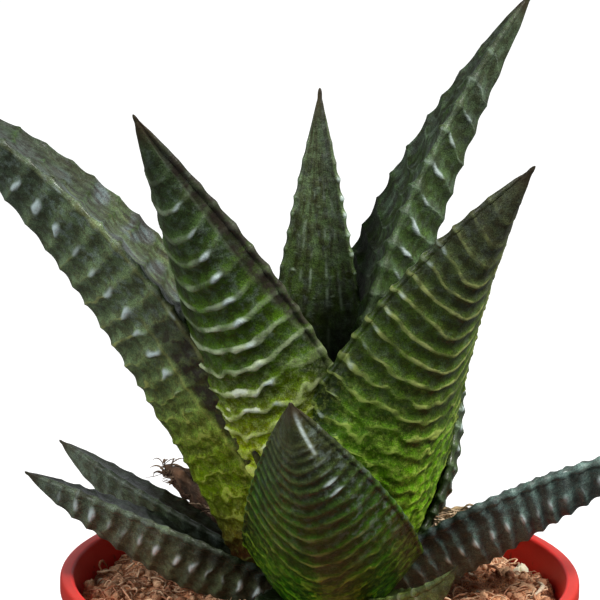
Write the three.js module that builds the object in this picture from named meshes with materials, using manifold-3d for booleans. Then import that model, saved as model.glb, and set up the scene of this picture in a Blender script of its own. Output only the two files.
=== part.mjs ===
// A potted haworthia: a rosette of keeled, cross-ridged leaves on a short stem, in soil, in a round pot.
// Millimetres, +Z up. The origin is the centre of the pot's foot. -Y is the side that the rosette shows best.
import * as THREE from "three";
import { mergeVertices } from "three/addons/utils/BufferGeometryUtils.js";
import Module from "manifold-3d";

const wasm = await Module();
wasm.setup();

// ---- driving dimensions: the pot ----
const POT_RIM_RADIUS = 42.5;
const POT_HEIGHT = 76;
const POT_FOOT_RADIUS = 29;
const POT_WALL = 1.4;
const LIP_WIDTH = 2.2;
const LIP_HEIGHT = 3;
const LIP_ROUND = 0.8; // the bevel of the lip's outer top edge
const LIP_EDGE = 0.35; // the bevel of its other edges
const COLLAR_HEIGHT = 11; // the straighter band under the lip
const COLLAR_STEP = 1; // how far the collar stands out from the wall below it
const FOOT_ROUND = 1.2;
const FLOOR_THICKNESS = 1.8;
const DRAIN_HOLES = 6;
const DRAIN_RADIUS = 3;
const DRAIN_RING = 19; // from the axis to a drain hole's centre
const DRAIN_SIDES = 10;
const POT_SIDES = 36;

// ---- driving dimensions: the soil ----
const SOIL_BELOW_RIM = 4.2;
const SOIL_WALL_GAP = 0.35; // clearance to the pot's slanted wall, measured level
const SOIL_LUMP = 0.9; // how far the lumps of the top rise and sink
const SOIL_WAVES = [ // the lumps: share of the height, waves around, waves outward per mm, phase
  [0.5, 3, 0.42, 1],
  [0.3, 7, 0.3, 0],
  [0.35, 11, -0.5, 0],
];
const SOIL_RINGS = [0.9, 0.68, 0.44]; // where the lumpy rings lie, as shares of the top's radius

// ---- driving dimensions: the stem ----
const STEM_RADIUS = 4.6;
const STEM_ABOVE_SOIL = 9;
const STEM_BELOW_SOIL = 16;
const STEM_TAPER = 0.6; // its blunt lower end, as a share of its radius
const STEM_TAPER_RISE = 0.4; // the taper's height, as a share of the depth in the soil
const STEM_DOME = 0.9; // the dome's height, as a share of its radius
const STEM_DOME_ANGLES = [0, 35, 65];
const STEM_SIDES = 20;

// ---- driving dimensions: the leaves ----
const GAP = 0.3; // clearance between pieces that touch
const MERGE_DISTANCE = 1e-3; // corners nearer than this are one
const MARGIN_THICKNESS = 1.1; // a leaf's edge
const MARGIN_SHARE = 0.7; // the edge's thickness where the leaf is thin, as a share of the leaf's own
const TIP_THICKNESS = 0.6;
const TIP_SHARE = 0.035; // a leaf's width at its blunt tip, as a share of its widest
const DEPTH_FADE = 0.85; // under 1 the keel's depth fades more slowly than the width
const SHOULDER = 0.55; // where the back bends between keel and margin, as a share of the half width
const CLASP_END = 0.3; // up to here along a leaf the channel is deeper, to clasp the stem
const CLASP_DEPTH = 1.6; // how much deeper at the root
const RIDGE_FADE = 0.9; // the last tenth of a leaf is smooth
const RIDGE_CROWDING = 1.5; // above 1 the ridges lie closer together towards the root
const RIDGE_RUN_IN = 3; // ridges from the root before they stand at their full height
const RIDGE_AT_MARGIN = 0.9; // how far a crest stands out past the margin, as a share of its height
const RIDGE_ON_FACE = 0.6; // how far it stands up in the channel
const CENTRE_STEPS = 24; // steps along a leaf's centre line
const ROOM_STEPS = 18; // rings in the plain shape that clears room for a leaf among the others
const ROOM_PAST_ENDS = 0.45; // how far that shape runs past the root and the tip

const RIM_Z = POT_HEIGHT;
const SOIL_Z = RIM_Z - SOIL_BELOW_RIM;

// ---- the leaves, in the order that they take up their room: each is cut to clear those before it ----
// size: length, width, depth of the keel below the upper face.
// heading: the way the leaf points at its root, and its turn by the tip (degrees, 0 is +X, 90 is +Y).
// rise: slope above the horizontal at root and tip; a third number over 1 spends the change near the root.
// root: distance from the stem's axis, azimuth, height above the soil.
// roll: the blade's turn about its own length, at root and tip.
// edge: width at the root as a share of the widest, where it is widest, 1 for a straight taper.
// section: 0 for a round back to 1 for a sharp keel, then the channel's depth. ridges: how many, how high.
const LEAVES = [
  ["leaf_front", [61, 28.5, 6.5], [-90, -23], [34, 63, 1], [3.5, -50, 0.6],
    [0, 0], [0.95, 0.18, 2.1], [0.45, 0.3], [20, 0.3]],
  ["leaf_low_left_front", [50, 17, 6], [184, -4], [25, 25, 1], [3, 196, 0.6],
    [10, 10], [0.6, 0.4, 1.3], [0.5, 0.2], [15, 0.35]],
  ["leaf_low_left_back", [49, 15, 5.5], [154, 0], [16, 27, 1], [3, 158, 2],
    [18, 18], [0.6, 0.4, 1.5], [0.5, 0.2], [13, 0.35]],
  ["leaf_low_right", [66, 17, 6.4], [-2, 2], [40, 15, 1], [3, -20, -1.5],
    [-16, -16], [0.6, 0.4, 1.3], [0.45, 0.2], [17, 0.4]],
  ["leaf_low_front_right", [36, 9, 4], [-52, 0], [-2, 52, 0.8], [3, -48, 2],
    [0, 0], [0.7, 0.4, 1.3], [0.5, 0.2], [10, 0.3]],
  ["leaf_low_front_left", [30, 12, 4], [-106, 0], [-2, 24, 1], [3, -106, 2],
    [0, 0], [0.7, 0.4, 1.3], [0.5, 0.2], [7, 0.3]],
  ["leaf_low_back_left", [30, 15, 5], [118, 0], [20, 28, 1], [3, 120, 2],
    [0, 0], [0.7, 0.4, 1.3], [0.5, 0.2], [6, 0.35]],
  ["leaf_low_back", [46, 15, 5.5], [92, 0], [22, 18, 1], [3, 95, 2.5],
    [0, 0], [0.7, 0.4, 1.3], [0.5, 0.2], [8, 0.35]],
  ["leaf_low_back_right", [40, 14, 5.5], [64, 0], [22, 24, 1], [3, 60, 2],
    [0, 0], [0.7, 0.4, 1.3], [0.5, 0.2], [7, 0.35]],
  ["leaf_left", [111, 20, 12.5], [176, -4], [80, 24, 1], [4, 225, 1],
    [-3, -3], [0.6, 0.4, 1.7], [0.7, 0.2], [20, 0.5]],
  ["leaf_front_right", [86, 30, 7], [-40, 0], [80, 52, 1.1], [7, -40, 3],
    [-24, -16], [0.95, 0.25, 1.45], [0.45, 0.3], [20, 0.5]],
  ["leaf_front_left", [92, 27, 6.5], [222, 0], [80, 58, 1.6], [3, 200, 3.5],
    [24, -2], [0.7, 0.35, 1.5], [0.45, 0.3], [17, 0.5]],
  ["leaf_right_back", [48, 22, 6], [40, 0], [45, 85, 1], [7.3, 30, 1.5],
    [0, 0], [0.9, 0.4, 1.3], [0.45, 0.3], [11, 0.45]],
  ["leaf_back_left", [44, 18, 6], [124, 0], [60, 74, 1], [5, 125, 3],
    [0, 0], [0.7, 0.35, 1.3], [0.45, 0.3], [8, 0.45]],
  ["leaf_back_right", [103, 20, 10.5], [26, 0], [91, 49, 1.2], [3, 92, 5],
    [-10, -10], [0.75, 0.27, 1.2], [0.7, 0.2], [18, 0.5]],
  ["leaf_back", [77.5, 20, 5.5], [90, 0], [86, 80, 1], [3, 110, 6],
    [0, 0], [0.6, 0.3, 1.1], [0.45, 0.3], [14, 0.45]],
  ["leaf_centre", [27, 9, 4], [50, 0], [86, 84, 1], [1, 10, 8],
    [0, 0], [0.7, 0.3, 1.2], [0.45, 0.3], [5, 0.35]],
];
const DRY_LEAVES = [
  ["dry_leaf_left", [36, 10, 1.4], [137, -4], [16, 20, 1], [3, 137, 3],
    [20, 20], [0.8, 0.7, 2.2], [0.2, 0.5], [6, 0.3]],
  ["dry_leaf_right", [27, 9, 1.4], [23, -5], [26, 12, 1], [3, 23, 3],
    [-25, -25], [0.8, 0.7, 2.2], [0.2, 0.5], [5, 0.3]],
];

// ---- helpers ----
const rad = THREE.MathUtils.degToRad;
const lerp = THREE.MathUtils.lerp;

// A point at a distance from the axis, an angle round it and a height.
function polar(radius, angle, z) {
  return new THREE.Vector3(radius * Math.cos(angle), radius * Math.sin(angle), z);
}

// A geometry as a manifold solid, its shared vertices merged.
function solidOf(geometry) {
  const bare = new THREE.BufferGeometry();
  bare.setAttribute("position", geometry.getAttribute("position"));
  if (geometry.index) bare.setIndex(geometry.index);
  const merged = mergeVertices(bare, MERGE_DISTANCE);
  return new wasm.Manifold(
    new wasm.Mesh({
      numProp: 3,
      vertProperties: new Float32Array(merged.attributes.position.array),
      triVerts: new Uint32Array(merged.index.array),
    }),
  );
}

function geometryOf(solid) {
  const mesh = solid.getMesh();
  const geometry = new THREE.BufferGeometry();
  geometry.setAttribute("position", new THREE.BufferAttribute(new Float32Array(mesh.vertProperties), 3));
  geometry.setIndex(new THREE.BufferAttribute(new Uint32Array(mesh.triVerts), 1));
  geometry.computeVertexNormals();
  return geometry;
}

// The largest single body of a solid that a cut may have left in scraps, its nearly equal corners merged.
function largestBody(solid) {
  const largest = (whole) => whole.decompose().sort((a, b) => b.volume() - a.volume())[0];
  return largest(solidOf(geometryOf(largest(solid))));
}

// A closed skin through rings of points, with a cap on each end that fans out from the ring's last point.
function loft(rings) {
  const sides = rings[0].length;
  const index = [];
  for (let i = 0; i + 1 < rings.length; i++) {
    for (let k = 0; k < sides; k++) {
      const a = i * sides + k;
      const b = i * sides + ((k + 1) % sides);
      index.push(a, b, b + sides, a, b + sides, a + sides);
    }
  }
  const end = (rings.length - 1) * sides;
  const hub = sides - 1;
  for (let k = 0; k + 1 < hub; k++) {
    index.push(hub, k + 1, k);
    index.push(end + hub, end + k, end + k + 1);
  }
  const geometry = new THREE.BufferGeometry().setFromPoints(rings.flat());
  geometry.setIndex(index);
  return geometry;
}

// A solid turned about +Z from a closed profile of [radius, z] points that runs counter-clockwise.
function turned(profile, sides) {
  const points = profile.map(([r, z]) => new THREE.Vector2(r, z));
  points.push(points[0].clone());
  return solidOf(new THREE.LatheGeometry(points, sides).rotateX(Math.PI / 2));
}

// ---- one leaf ----
function leafOf([name, size, heading, rise, root, roll, edge, section, ridges]) {
  return { name, size, heading, rise, root, roll, edge, section, ridges };
}

// Half the blade's width at s from 0 at the root to 1 at the tip, as a share of its widest.
function widthShare([base, widest, taper], s) {
  if (s < widest) return lerp(base, 1, Math.sin((Math.PI / 2) * (s / widest)));
  const t = (s - widest) / (1 - widest);
  return Math.max(1 - t ** taper, TIP_SHARE);
}

// The leaf's own direction at s.
function directionAt({ heading, rise }, s) {
  const azimuth = rad(heading[0] + heading[1] * s);
  const slope = rad(lerp(rise[0], rise[1], 1 - Math.max(0, 1 - s) ** rise[2]));
  return polar(Math.cos(slope), azimuth, Math.sin(slope));
}

// The leaf's centre line, walked in short steps from its root.
function centreAt(leaf, s) {
  const [radius, azimuth, height] = leaf.root;
  const point = polar(radius, rad(azimuth), SOIL_Z + height);
  const step = s / CENTRE_STEPS;
  for (let i = 0; i < CENTRE_STEPS; i++) {
    point.addScaledVector(directionAt(leaf, step * (i + 0.5)), leaf.size[0] * step);
  }
  return point;
}

// The ring round the leaf at s, its ridge raised by lift and its whole surface moved out by grow.
function leafRing(leaf, s, lift, grow) {
  const centre = centreAt(leaf, s);
  const along = directionAt(leaf, s);
  const side = polar(1, rad(leaf.heading[0] + leaf.heading[1] * s + 90), 0);
  side.applyAxisAngle(along, rad(lerp(leaf.roll[0], leaf.roll[1], s)));
  const inward = new THREE.Vector3().crossVectors(along, side);
  const [, width, thick] = leaf.size;
  const [keel, channel] = leaf.section;
  const share = widthShare(leaf.edge, s);
  const half = (width / 2) * share + grow + lift * RIDGE_AT_MARGIN;
  const depth = thick * share ** DEPTH_FADE + lift + grow;
  const clasp = CLASP_DEPTH * Math.max(0, 1 - s / CLASP_END) ** 2;
  const cup = channel * half * (1 + clasp);
  const margin = Math.min(MARGIN_THICKNESS, Math.max(TIP_THICKNESS, depth * MARGIN_SHARE));
  const rim = margin / 2 + grow;
  const back = (x) => cup * x * x - depth * (keel * (1 - x) + (1 - keel) * (1 - x * x)) - rim;
  const outline = [
    [-1, cup + rim],
    [-1, cup - rim],
    [-SHOULDER, back(SHOULDER)],
    [0, back(0)],
    [SHOULDER, back(SHOULDER)],
    [1, cup - rim],
    [1, cup + rim],
    [0, rim + lift * RIDGE_ON_FACE],
  ];
  const pointAt = ([x, y]) => centre.clone().addScaledVector(side, x * half).addScaledVector(inward, y);
  return outline.map(pointAt);
}

// A leaf, each of its ridges a crest ring between two valley rings.
function leafSolid(leaf) {
  const [count, height] = leaf.ridges;
  const station = (n) => RIDGE_FADE * (1 - (1 - n / count) ** (1 / RIDGE_CROWDING));
  const rings = [];
  for (let n = 0; n < count; n++) {
    rings.push(leafRing(leaf, station(n), 0, 0));
    rings.push(leafRing(leaf, station(n + 0.5), height * Math.min(1, n / RIDGE_RUN_IN), 0));
  }
  rings.push(leafRing(leaf, RIDGE_FADE, 0, 0));
  rings.push(leafRing(leaf, 1, 0, 0));
  return solidOf(loft(rings));
}

// The room that a leaf takes up: its unridged shape, as high as its crests, a gap larger all round.
function leafRoom(leaf) {
  const past = ROOM_PAST_ENDS / leaf.size[0];
  const rings = [leafRing(leaf, -past, leaf.ridges[1], GAP)];
  for (let n = 0; n <= ROOM_STEPS; n++) {
    rings.push(leafRing(leaf, (n / ROOM_STEPS) ** RIDGE_CROWDING, leaf.ridges[1], GAP));
  }
  rings.push(leafRing(leaf, 1 + past, 0, GAP));
  return solidOf(loft(rings));
}

// ---- the stem: a blunt plug below the soil and a dome between the youngest leaves ----
function stemSolid(grow) {
  const radius = STEM_RADIUS + grow;
  const low = SOIL_Z - STEM_BELOW_SOIL - grow;
  const high = SOIL_Z + STEM_ABOVE_SOIL + grow;
  const dome = STEM_DOME_ANGLES.map((angle) => [
    radius * Math.cos(rad(angle)),
    high - STEM_DOME * radius * (1 - Math.sin(rad(angle))),
  ]);
  return turned(
    [
      [0, low],
      [radius * STEM_TAPER, low],
      [radius, low + STEM_BELOW_SOIL * STEM_TAPER_RISE],
      ...dome,
      [0, high],
    ],
    STEM_SIDES,
  );
}

// ---- the pot ----
// The wall's outer radius below the collar, at a height above the foot.
const WALL_TOP_RADIUS = POT_RIM_RADIUS - LIP_WIDTH + POT_WALL - COLLAR_STEP;
function wallRadius(z) {
  return lerp(POT_FOOT_RADIUS, WALL_TOP_RADIUS, z / RIM_Z);
}

function potSolid() {
  const collarZ = RIM_Z - COLLAR_HEIGHT;
  const lipZ = RIM_Z - LIP_HEIGHT;
  const shell = turned(
    [
      [0, 0],
      [POT_FOOT_RADIUS - FOOT_ROUND, 0],
      [wallRadius(FOOT_ROUND), FOOT_ROUND],
      [wallRadius(collarZ - COLLAR_STEP), collarZ - COLLAR_STEP],
      [wallRadius(collarZ) + COLLAR_STEP, collarZ],
      [WALL_TOP_RADIUS + COLLAR_STEP, lipZ],
      [POT_RIM_RADIUS - LIP_EDGE, lipZ],
      [POT_RIM_RADIUS, lipZ + LIP_EDGE],
      [POT_RIM_RADIUS, RIM_Z - LIP_ROUND],
      [POT_RIM_RADIUS - LIP_ROUND, RIM_Z],
      [POT_RIM_RADIUS - LIP_WIDTH + LIP_EDGE, RIM_Z],
      [POT_RIM_RADIUS - LIP_WIDTH, RIM_Z - LIP_EDGE],
      [wallRadius(FLOOR_THICKNESS) - POT_WALL, FLOOR_THICKNESS],
      [0, FLOOR_THICKNESS],
    ],
    POT_SIDES,
  );
  const holes = [];
  for (let n = 0; n < DRAIN_HOLES; n++) {
    const centre = polar(DRAIN_RING, (2 * Math.PI * n) / DRAIN_HOLES, 0);
    const drill = new THREE.CylinderGeometry(DRAIN_RADIUS, DRAIN_RADIUS, 3 * FLOOR_THICKNESS, DRAIN_SIDES);
    holes.push(solidOf(drill.rotateX(Math.PI / 2).translate(centre.x, centre.y, 0)));
  }
  return shell.subtract(wasm.Manifold.union(holes));
}

// ---- the soil: a filled cone with a lumpy top ----
function lumpHeight(r, turn) {
  const wave = ([share, around, outward, phase]) => share * Math.sin(around * turn + outward * r + phase);
  return SOIL_LUMP * SOIL_WAVES.reduce((sum, row) => sum + wave(row), 0);
}

function soilSolid() {
  const low = FLOOR_THICKNESS + GAP;
  const innerLow = wallRadius(FLOOR_THICKNESS) - POT_WALL;
  const innerHigh = POT_RIM_RADIUS - LIP_WIDTH;
  const innerRadius = (z) => {
    const share = (z - FLOOR_THICKNESS) / (RIM_Z - FLOOR_THICKNESS);
    return lerp(innerLow, innerHigh, share) - SOIL_WALL_GAP;
  };
  const ring = (r, heightAt) => {
    const points = [];
    for (let k = 0; k < POT_SIDES; k++) {
      const turn = (2 * Math.PI * k) / POT_SIDES;
      points.push(polar(r, turn, heightAt(turn)));
    }
    return points;
  };
  const edgeZ = SOIL_Z - SOIL_LUMP;
  const topRadius = innerRadius(edgeZ);
  const rings = [ring(innerRadius(low), () => low), ring(topRadius, () => edgeZ)];
  for (const share of SOIL_RINGS) {
    const r = topRadius * share;
    rings.push(ring(r, (turn) => SOIL_Z + lumpHeight(r, turn)));
  }
  rings.push(ring(STEM_RADIUS, () => SOIL_Z));
  return solidOf(loft(rings));
}

// ---- the whole plant, each piece cut to clear those placed before it ----
const materials = {
  leaf: new THREE.MeshStandardMaterial({ color: 0x3d4a26, roughness: 0.45, metalness: 0 }),
  dry: new THREE.MeshStandardMaterial({ color: 0x7a5a3c, roughness: 0.9, metalness: 0 }),
  stem: new THREE.MeshStandardMaterial({ color: 0x4a3c22, roughness: 0.8, metalness: 0 }),
  pot: new THREE.MeshStandardMaterial({ color: 0xb8382c, roughness: 0.5, metalness: 0 }),
  soil: new THREE.MeshStandardMaterial({ color: 0x5a4230, roughness: 0.95, metalness: 0 }),
};

const group = new THREE.Group();
function place(name, solid, material) {
  const mesh = new THREE.Mesh(geometryOf(solid), material);
  mesh.name = name;
  group.add(mesh);
}

let taken = stemSolid(GAP);
function placeLeaf(row, material) {
  const leaf = leafOf(row);
  place(leaf.name, largestBody(leafSolid(leaf).subtract(taken)), material);
  taken = taken.add(leafRoom(leaf));
}

place("stem", stemSolid(0), materials.stem);
for (const row of LEAVES) placeLeaf(row, materials.leaf);
for (const row of DRY_LEAVES) placeLeaf(row, materials.dry);
place("soil", largestBody(soilSolid().subtract(taken)), materials.soil);
place("pot", potSolid(), materials.pot);

export default group;
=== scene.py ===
"""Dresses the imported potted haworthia: fine ridged leaves, a turned pot, loose soil and a pale studio."""
import math
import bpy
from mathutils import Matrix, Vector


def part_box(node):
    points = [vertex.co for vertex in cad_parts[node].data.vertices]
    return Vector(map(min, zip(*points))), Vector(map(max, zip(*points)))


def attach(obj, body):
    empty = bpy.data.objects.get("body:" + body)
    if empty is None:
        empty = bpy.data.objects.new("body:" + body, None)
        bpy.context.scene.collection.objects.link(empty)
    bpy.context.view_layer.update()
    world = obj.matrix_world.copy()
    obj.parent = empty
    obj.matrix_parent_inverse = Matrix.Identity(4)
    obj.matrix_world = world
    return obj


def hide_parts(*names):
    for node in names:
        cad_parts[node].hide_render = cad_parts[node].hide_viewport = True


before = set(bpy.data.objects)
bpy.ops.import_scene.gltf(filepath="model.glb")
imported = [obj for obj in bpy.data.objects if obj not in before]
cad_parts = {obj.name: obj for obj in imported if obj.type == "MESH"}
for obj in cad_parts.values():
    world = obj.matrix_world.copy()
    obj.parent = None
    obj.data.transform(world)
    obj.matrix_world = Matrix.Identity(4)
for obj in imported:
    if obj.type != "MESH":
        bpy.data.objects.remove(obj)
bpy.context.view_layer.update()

from types import SimpleNamespace

import bpy
import numpy as np
from bpy.props import FloatProperty, FloatVectorProperty, IntProperty, PointerProperty
from mathutils import Matrix, Vector

bl_info = {
    "name": "Potted Haworthia",
    "version": (1, 0, 0),
    "blender": (4, 5, 0),
    "location": "View3D > Sidebar > Haworthia",
    "description": "Builds the looks of a potted haworthia around its packed frame",
    "category": "Object",
}

MM = 0.001  # the shapes are worked out in millimetres, and Blender holds metres
RIM_RADIUS, _, RIM_Z = (float(value) for value in np.array(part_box("pot")[1]) / MM)
SOIL_DROP = 4.2  # from the rim down to the soil's level
SOIL_Z = RIM_Z - SOIL_DROP

# ---- the leaves ----
# size: length, width, depth of the keel. heading: azimuth at the root and its turn by the tip, in degrees.
# rise: slope at root and tip, exponent of the change. root: distance from the axis, azimuth, height above
# the soil.
# ridges: how many, how high, how far their ends run tipwards, how much closer they are at the root (over 1).
# roll: at root and tip. edge: width share at the root, where it is widest, taper. section: keel, channel.
# flatness: over 2 for a back with a flat middle and steep flanks. skin: the palette.
# look: how pale the crests are, how round, how ragged low down, how far up they stay pale.
# knobs: how strong on the -x and +x sides, how far out they lie, and from how far up; each raised knob
# carries a painted glint.
# face: the upper face's cross bars, its lengthwise streaks, its painted bluish sheen (also in spots on the
# back), and how strong the painted highlight along the margin is.
# folds: where the -x and +x flanks turn dark with painted shade, in half widths (over 1: nowhere).
# keel_line: how strong a painted highlight along the keel is, from where to where.
# shade: between which shares of its length the leaf turns dark towards the root, a painted shade.
# gap: the margin, 1 for +x and -1 for -x, that gets a painted shadow, as in a dark gap beside its neighbour
# low down.
USUAL = {
    "roll": (0, 0), "edge": (0.7, 0.4, 1.3), "section": (0.5, 0.2), "flatness": 2, "skin": "slate",
    "look": (0.25, 0.8, 0.3, 0.9), "knobs": (0.4, 0.4, 0.6, 0.1), "face": (0.3, 0.3, 0.3, 0.2),
    "folds": (1.5, 1.5), "keel_line": (0, 0, 1), "shade": (-2, -1), "gap": 0,
}


def blade(size, heading, rise, root, ridges, **own):
    """One leaf's numbers. Whatever isn't its own is as usual for a low leaf."""
    numbers = {**USUAL, **own}
    return SimpleNamespace(size=size, heading=heading, rise=rise, root=root, ridges=ridges, **numbers)


LEAVES = {
    "leaf_front": blade(
        (61, 28.5, 6.5), (-90, -23), (34, 63, 1), (3.5, -50, 0.6), (20, 0.3, 0.75, 0.64), skin="olive",
        edge=(0.95, 0.18, 2.1), section=(0.25, 0.3), look=(0.75, 0.1, 1, 0.62),
        knobs=(0.1, 0.65, 0.6, 0.68), face=(0.3, 0.3, 0.85, 0.1), keel_line=(1, 0.82, 0.96)),
    "leaf_low_left_front": blade(
        (50, 17, 6), (184, -4), (25, 25, 1), (3, 196, 0.6), (15, 0.4, 0.4, 1.05), roll=(10, 10),
        edge=(0.6, 0.4, 1.3), look=(0.2, 0.8, 0.3, 0.9), knobs=(0.75, 0.75, 0.7, 0.05)),
    "leaf_low_left_back": blade(
        (49, 15, 5.5), (154, 0), (16, 27, 1), (3, 158, 2), (14, 0.28, 0.4, 1.05), roll=(18, 18),
        edge=(0.6, 0.4, 1.5), look=(0.1, 0.8, 0.3, 0.9), knobs=(0.15, 0.15, 0.9, 0.1),
        face=(0.3, 0.3, 0.3, 0.35), keel_line=(0.5, 0.3, 0.85)),
    "leaf_low_right": blade(
        (66, 17, 6.4), (-2, 2), (40, 15, 1), (3, -20, -1.5), (21, 0.45, 0.4, 1.05), roll=(-16, -16),
        skin="blue", edge=(0.6, 0.4, 1.3), section=(0.45, 0.2), look=(0.15, 0.9, 0.3, 0.9),
        knobs=(0.6, 0.15, 0.62, 0.1), face=(0.3, 0.3, 0.3, 0.15)),
    "leaf_low_front_right": blade(
        (36, 9, 4), (-52, 0), (-2, 52, 0.8), (3, -48, 2), (12, 0.25, 0.5, 1.1), skin="young",
        look=(0.3, 0.6, 0.3, 0.9), knobs=(0.3, 0.3, 0.9, 0.2)),
    "leaf_low_front_left": blade(
        (30, 12, 4), (-106, 0), (-2, 24, 1), (3, -106, 2), (10, 0.3, 0.5, 1.1), knobs=(0.3, 0.3, 0.7, 0.2)),
    "leaf_low_back_left": blade((30, 15, 5), (118, 0), (20, 28, 1), (3, 120, 2), (10, 0.35, 0.5, 1.1)),
    "leaf_low_back": blade((46, 15, 5.5), (92, 0), (22, 18, 1), (3, 95, 2.5), (14, 0.38, 0.5, 1.1)),
    "leaf_low_back_right": blade((40, 14, 5.5), (64, 0), (22, 24, 1), (3, 60, 2), (12, 0.38, 0.5, 1.1)),
    "leaf_left": blade(
        (111, 20, 12.5), (176, -4), (80, 24, 1), (4, 225, 1), (23, 0.5, 0.3, 1.15), roll=(-3, -3),
        skin="fern", edge=(0.6, 0.4, 1.7), section=(0.7, 0.2), look=(0.6, 0.45, 0.6, 0.62),
        knobs=(0.5, 0.82, 0.6, 0.36), face=(1, 0.3, 1, 0.7), gap=1),
    "leaf_front_right": blade(
        (86, 30, 7), (-40, 0), (80, 52, 1.1), (7, -40, 3), (23, 0.45, 0.9, 1.1), roll=(-24, -16),
        skin="green", edge=(0.95, 0.25, 1.45), section=(0.45, 0.3), look=(0.75, 0.4, 1, 0.8),
        knobs=(0.4, 0.1, 0.93, 0.2), face=(0.5, 0.5, 0.2, 0)),
    "leaf_front_left": blade(
        (92, 27, 6.5), (222, 0), (80, 58, 1.6), (3, 200, 3.5), (20, 0.55, 0.8, 1.15), roll=(24, -2),
        skin="lime", edge=(0.7, 0.35, 1.5), section=(0.25, 0.3), flatness=4, look=(1, 0.25, 0.9, 0.6),
        knobs=(0.1, 0.7, 0.55, 0.32), face=(0.3, 0.5, 0.3, 0.1), folds=(0.15, 0.88)),
    "leaf_right_back": blade(
        (48, 22, 6), (40, 0), (45, 85, 1), (7.3, 30, 1.5), (14, 0.5, 0.5, 1.05), skin="moss",
        edge=(0.9, 0.4, 1.3), section=(0.45, 0.3), look=(0.2, 0.5, 0.3, 0.8), knobs=(0.6, 0.6, 0.9, 0.1),
        face=(0.3, 0.5, 0.2, 0.3)),
    "leaf_back_left": blade(
        (44, 18, 6), (124, 0), (60, 74, 1), (5, 125, 3), (13, 0.45, 0.5, 1.1), skin="green",
        edge=(0.7, 0.35, 1.3), section=(0.45, 0.3), look=(0.6, 0.4, 0.8, 0.7), knobs=(0.5, 0.5, 0.85, 0.2),
        face=(0.3, 0.5, 0.2, 0.3)),
    "leaf_back_right": blade(
        (103, 20, 10.5), (26, 0), (91, 49, 1.2), (3, 92, 5), (20, 0.5, 0.6, 1.15), roll=(-10, -10),
        skin="moss", edge=(0.75, 0.27, 1.2), section=(0.7, 0.2), look=(0.4, 0.8, 0.3, 0.9),
        knobs=(0.7, 0.5, 0.8, 0.1), face=(1, 0.4, 0.3, 0.25), shade=(0.25, 0.45)),
    "leaf_back": blade(
        (77.5, 20, 5.5), (90, 0), (86, 80, 1), (3, 110, 6), (24, 0.27, 0.5, 1.05), skin="deep",
        edge=(0.6, 0.3, 1.1), section=(0.45, 0.3), look=(0.5, 0.4, 0.3, 0.8), knobs=(0.6, 0.3, 0.9, 0.1),
        face=(0.05, 1, 0.1, 0.4), shade=(0.44, 0.66)),
    "leaf_centre": blade(
        (27, 9, 4), (50, 0), (86, 84, 1), (1, 10, 8), (10, 0.3, 0.5, 1.1), skin="lime",
        edge=(0.7, 0.3, 1.2), section=(0.45, 0.3), look=(0.6, 0.3, 0.5, 0.7), knobs=(0.3, 0.3, 0.9, 0.3),
        face=(0.3, 0.5, 0.2, 0.2), shade=(0.5, 1)),
}
DRY = {
    "edge": (0.8, 0.7, 2.2), "section": (0.2, 0.5), "look": (0, 0.5, 0, 0.9), "knobs": (0, 0, 0.9, 0),
    "face": (0, 0, 0, 0),
}
DRY_LEAVES = {
    "dry_leaf_left": blade(
        (36, 10, 1.4), (137, -4), (16, 20, 1), (3, 137, 3), (6, 0.1, 0, 1.1), roll=(20, 20), skin="husk",
        **DRY),
    "dry_leaf_right": blade(
        (27, 9, 1.4), (23, -5), (26, 12, 1), (3, 23, 3), (5, 0.1, 0, 1.1), roll=(-25, -25), skin="straw",
        **DRY),
}
# Each palette: the skin at the root, low on the leaf, in its middle and near its tip, then the ridges low and
# high up. The deep palette is near black at the root and low down, a painted shade deep in the rosette.
PALETTES = {
    "lime": ("#7c9c08", "#a8c400", "#40600c", "#36462c", "#e4f080", "#dcecc8"),
    "fern": ("#4a2c14", "#648002", "#687c56", "#424e42", "#ccd868", "#a8aa68"),
    "green": ("#5e7a10", "#5e9608", "#425c16", "#4a5038", "#c4e458", "#b0b870"),
    "olive": ("#1e4206", "#2a5e08", "#2e580a", "#3c442a", "#98cc20", "#84864e"),
    "deep": ("#0c1406", "#0c1406", "#486224", "#5e7050", "#7c9470", "#a8bca4"),
    "moss": ("#2c3c14", "#365418", "#46602c", "#4e5e46", "#88a07c", "#a8bca4"),
    "slate": ("#443c30", "#4c5a40", "#5c6a50", "#66725e", "#6a7462", "#888f86"),
    "young": ("#42581c", "#42581c", "#5c7030", "#687846", "#98b050", "#a0b070"),
    "blue": ("#3c342c", "#425e58", "#5c746e", "#647c76", "#7a8a84", "#9aa8a6"),
    "husk": ("#5a3e2c", "#5a3e2c", "#6b4a34", "#7a5840", "#8a6a50", "#94745a"),
    "straw": ("#8c7050", "#8c7050", "#9c8260", "#a89068", "#aa946e", "#b09a78"),
}
SKIN_BLENDS = ((0.08, 0.22), (0.22, 0.50), (0.50, 0.92))  # where one palette colour gives way to the next
BAR_GREEN = (0.035, 0.085, 0.010)
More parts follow.
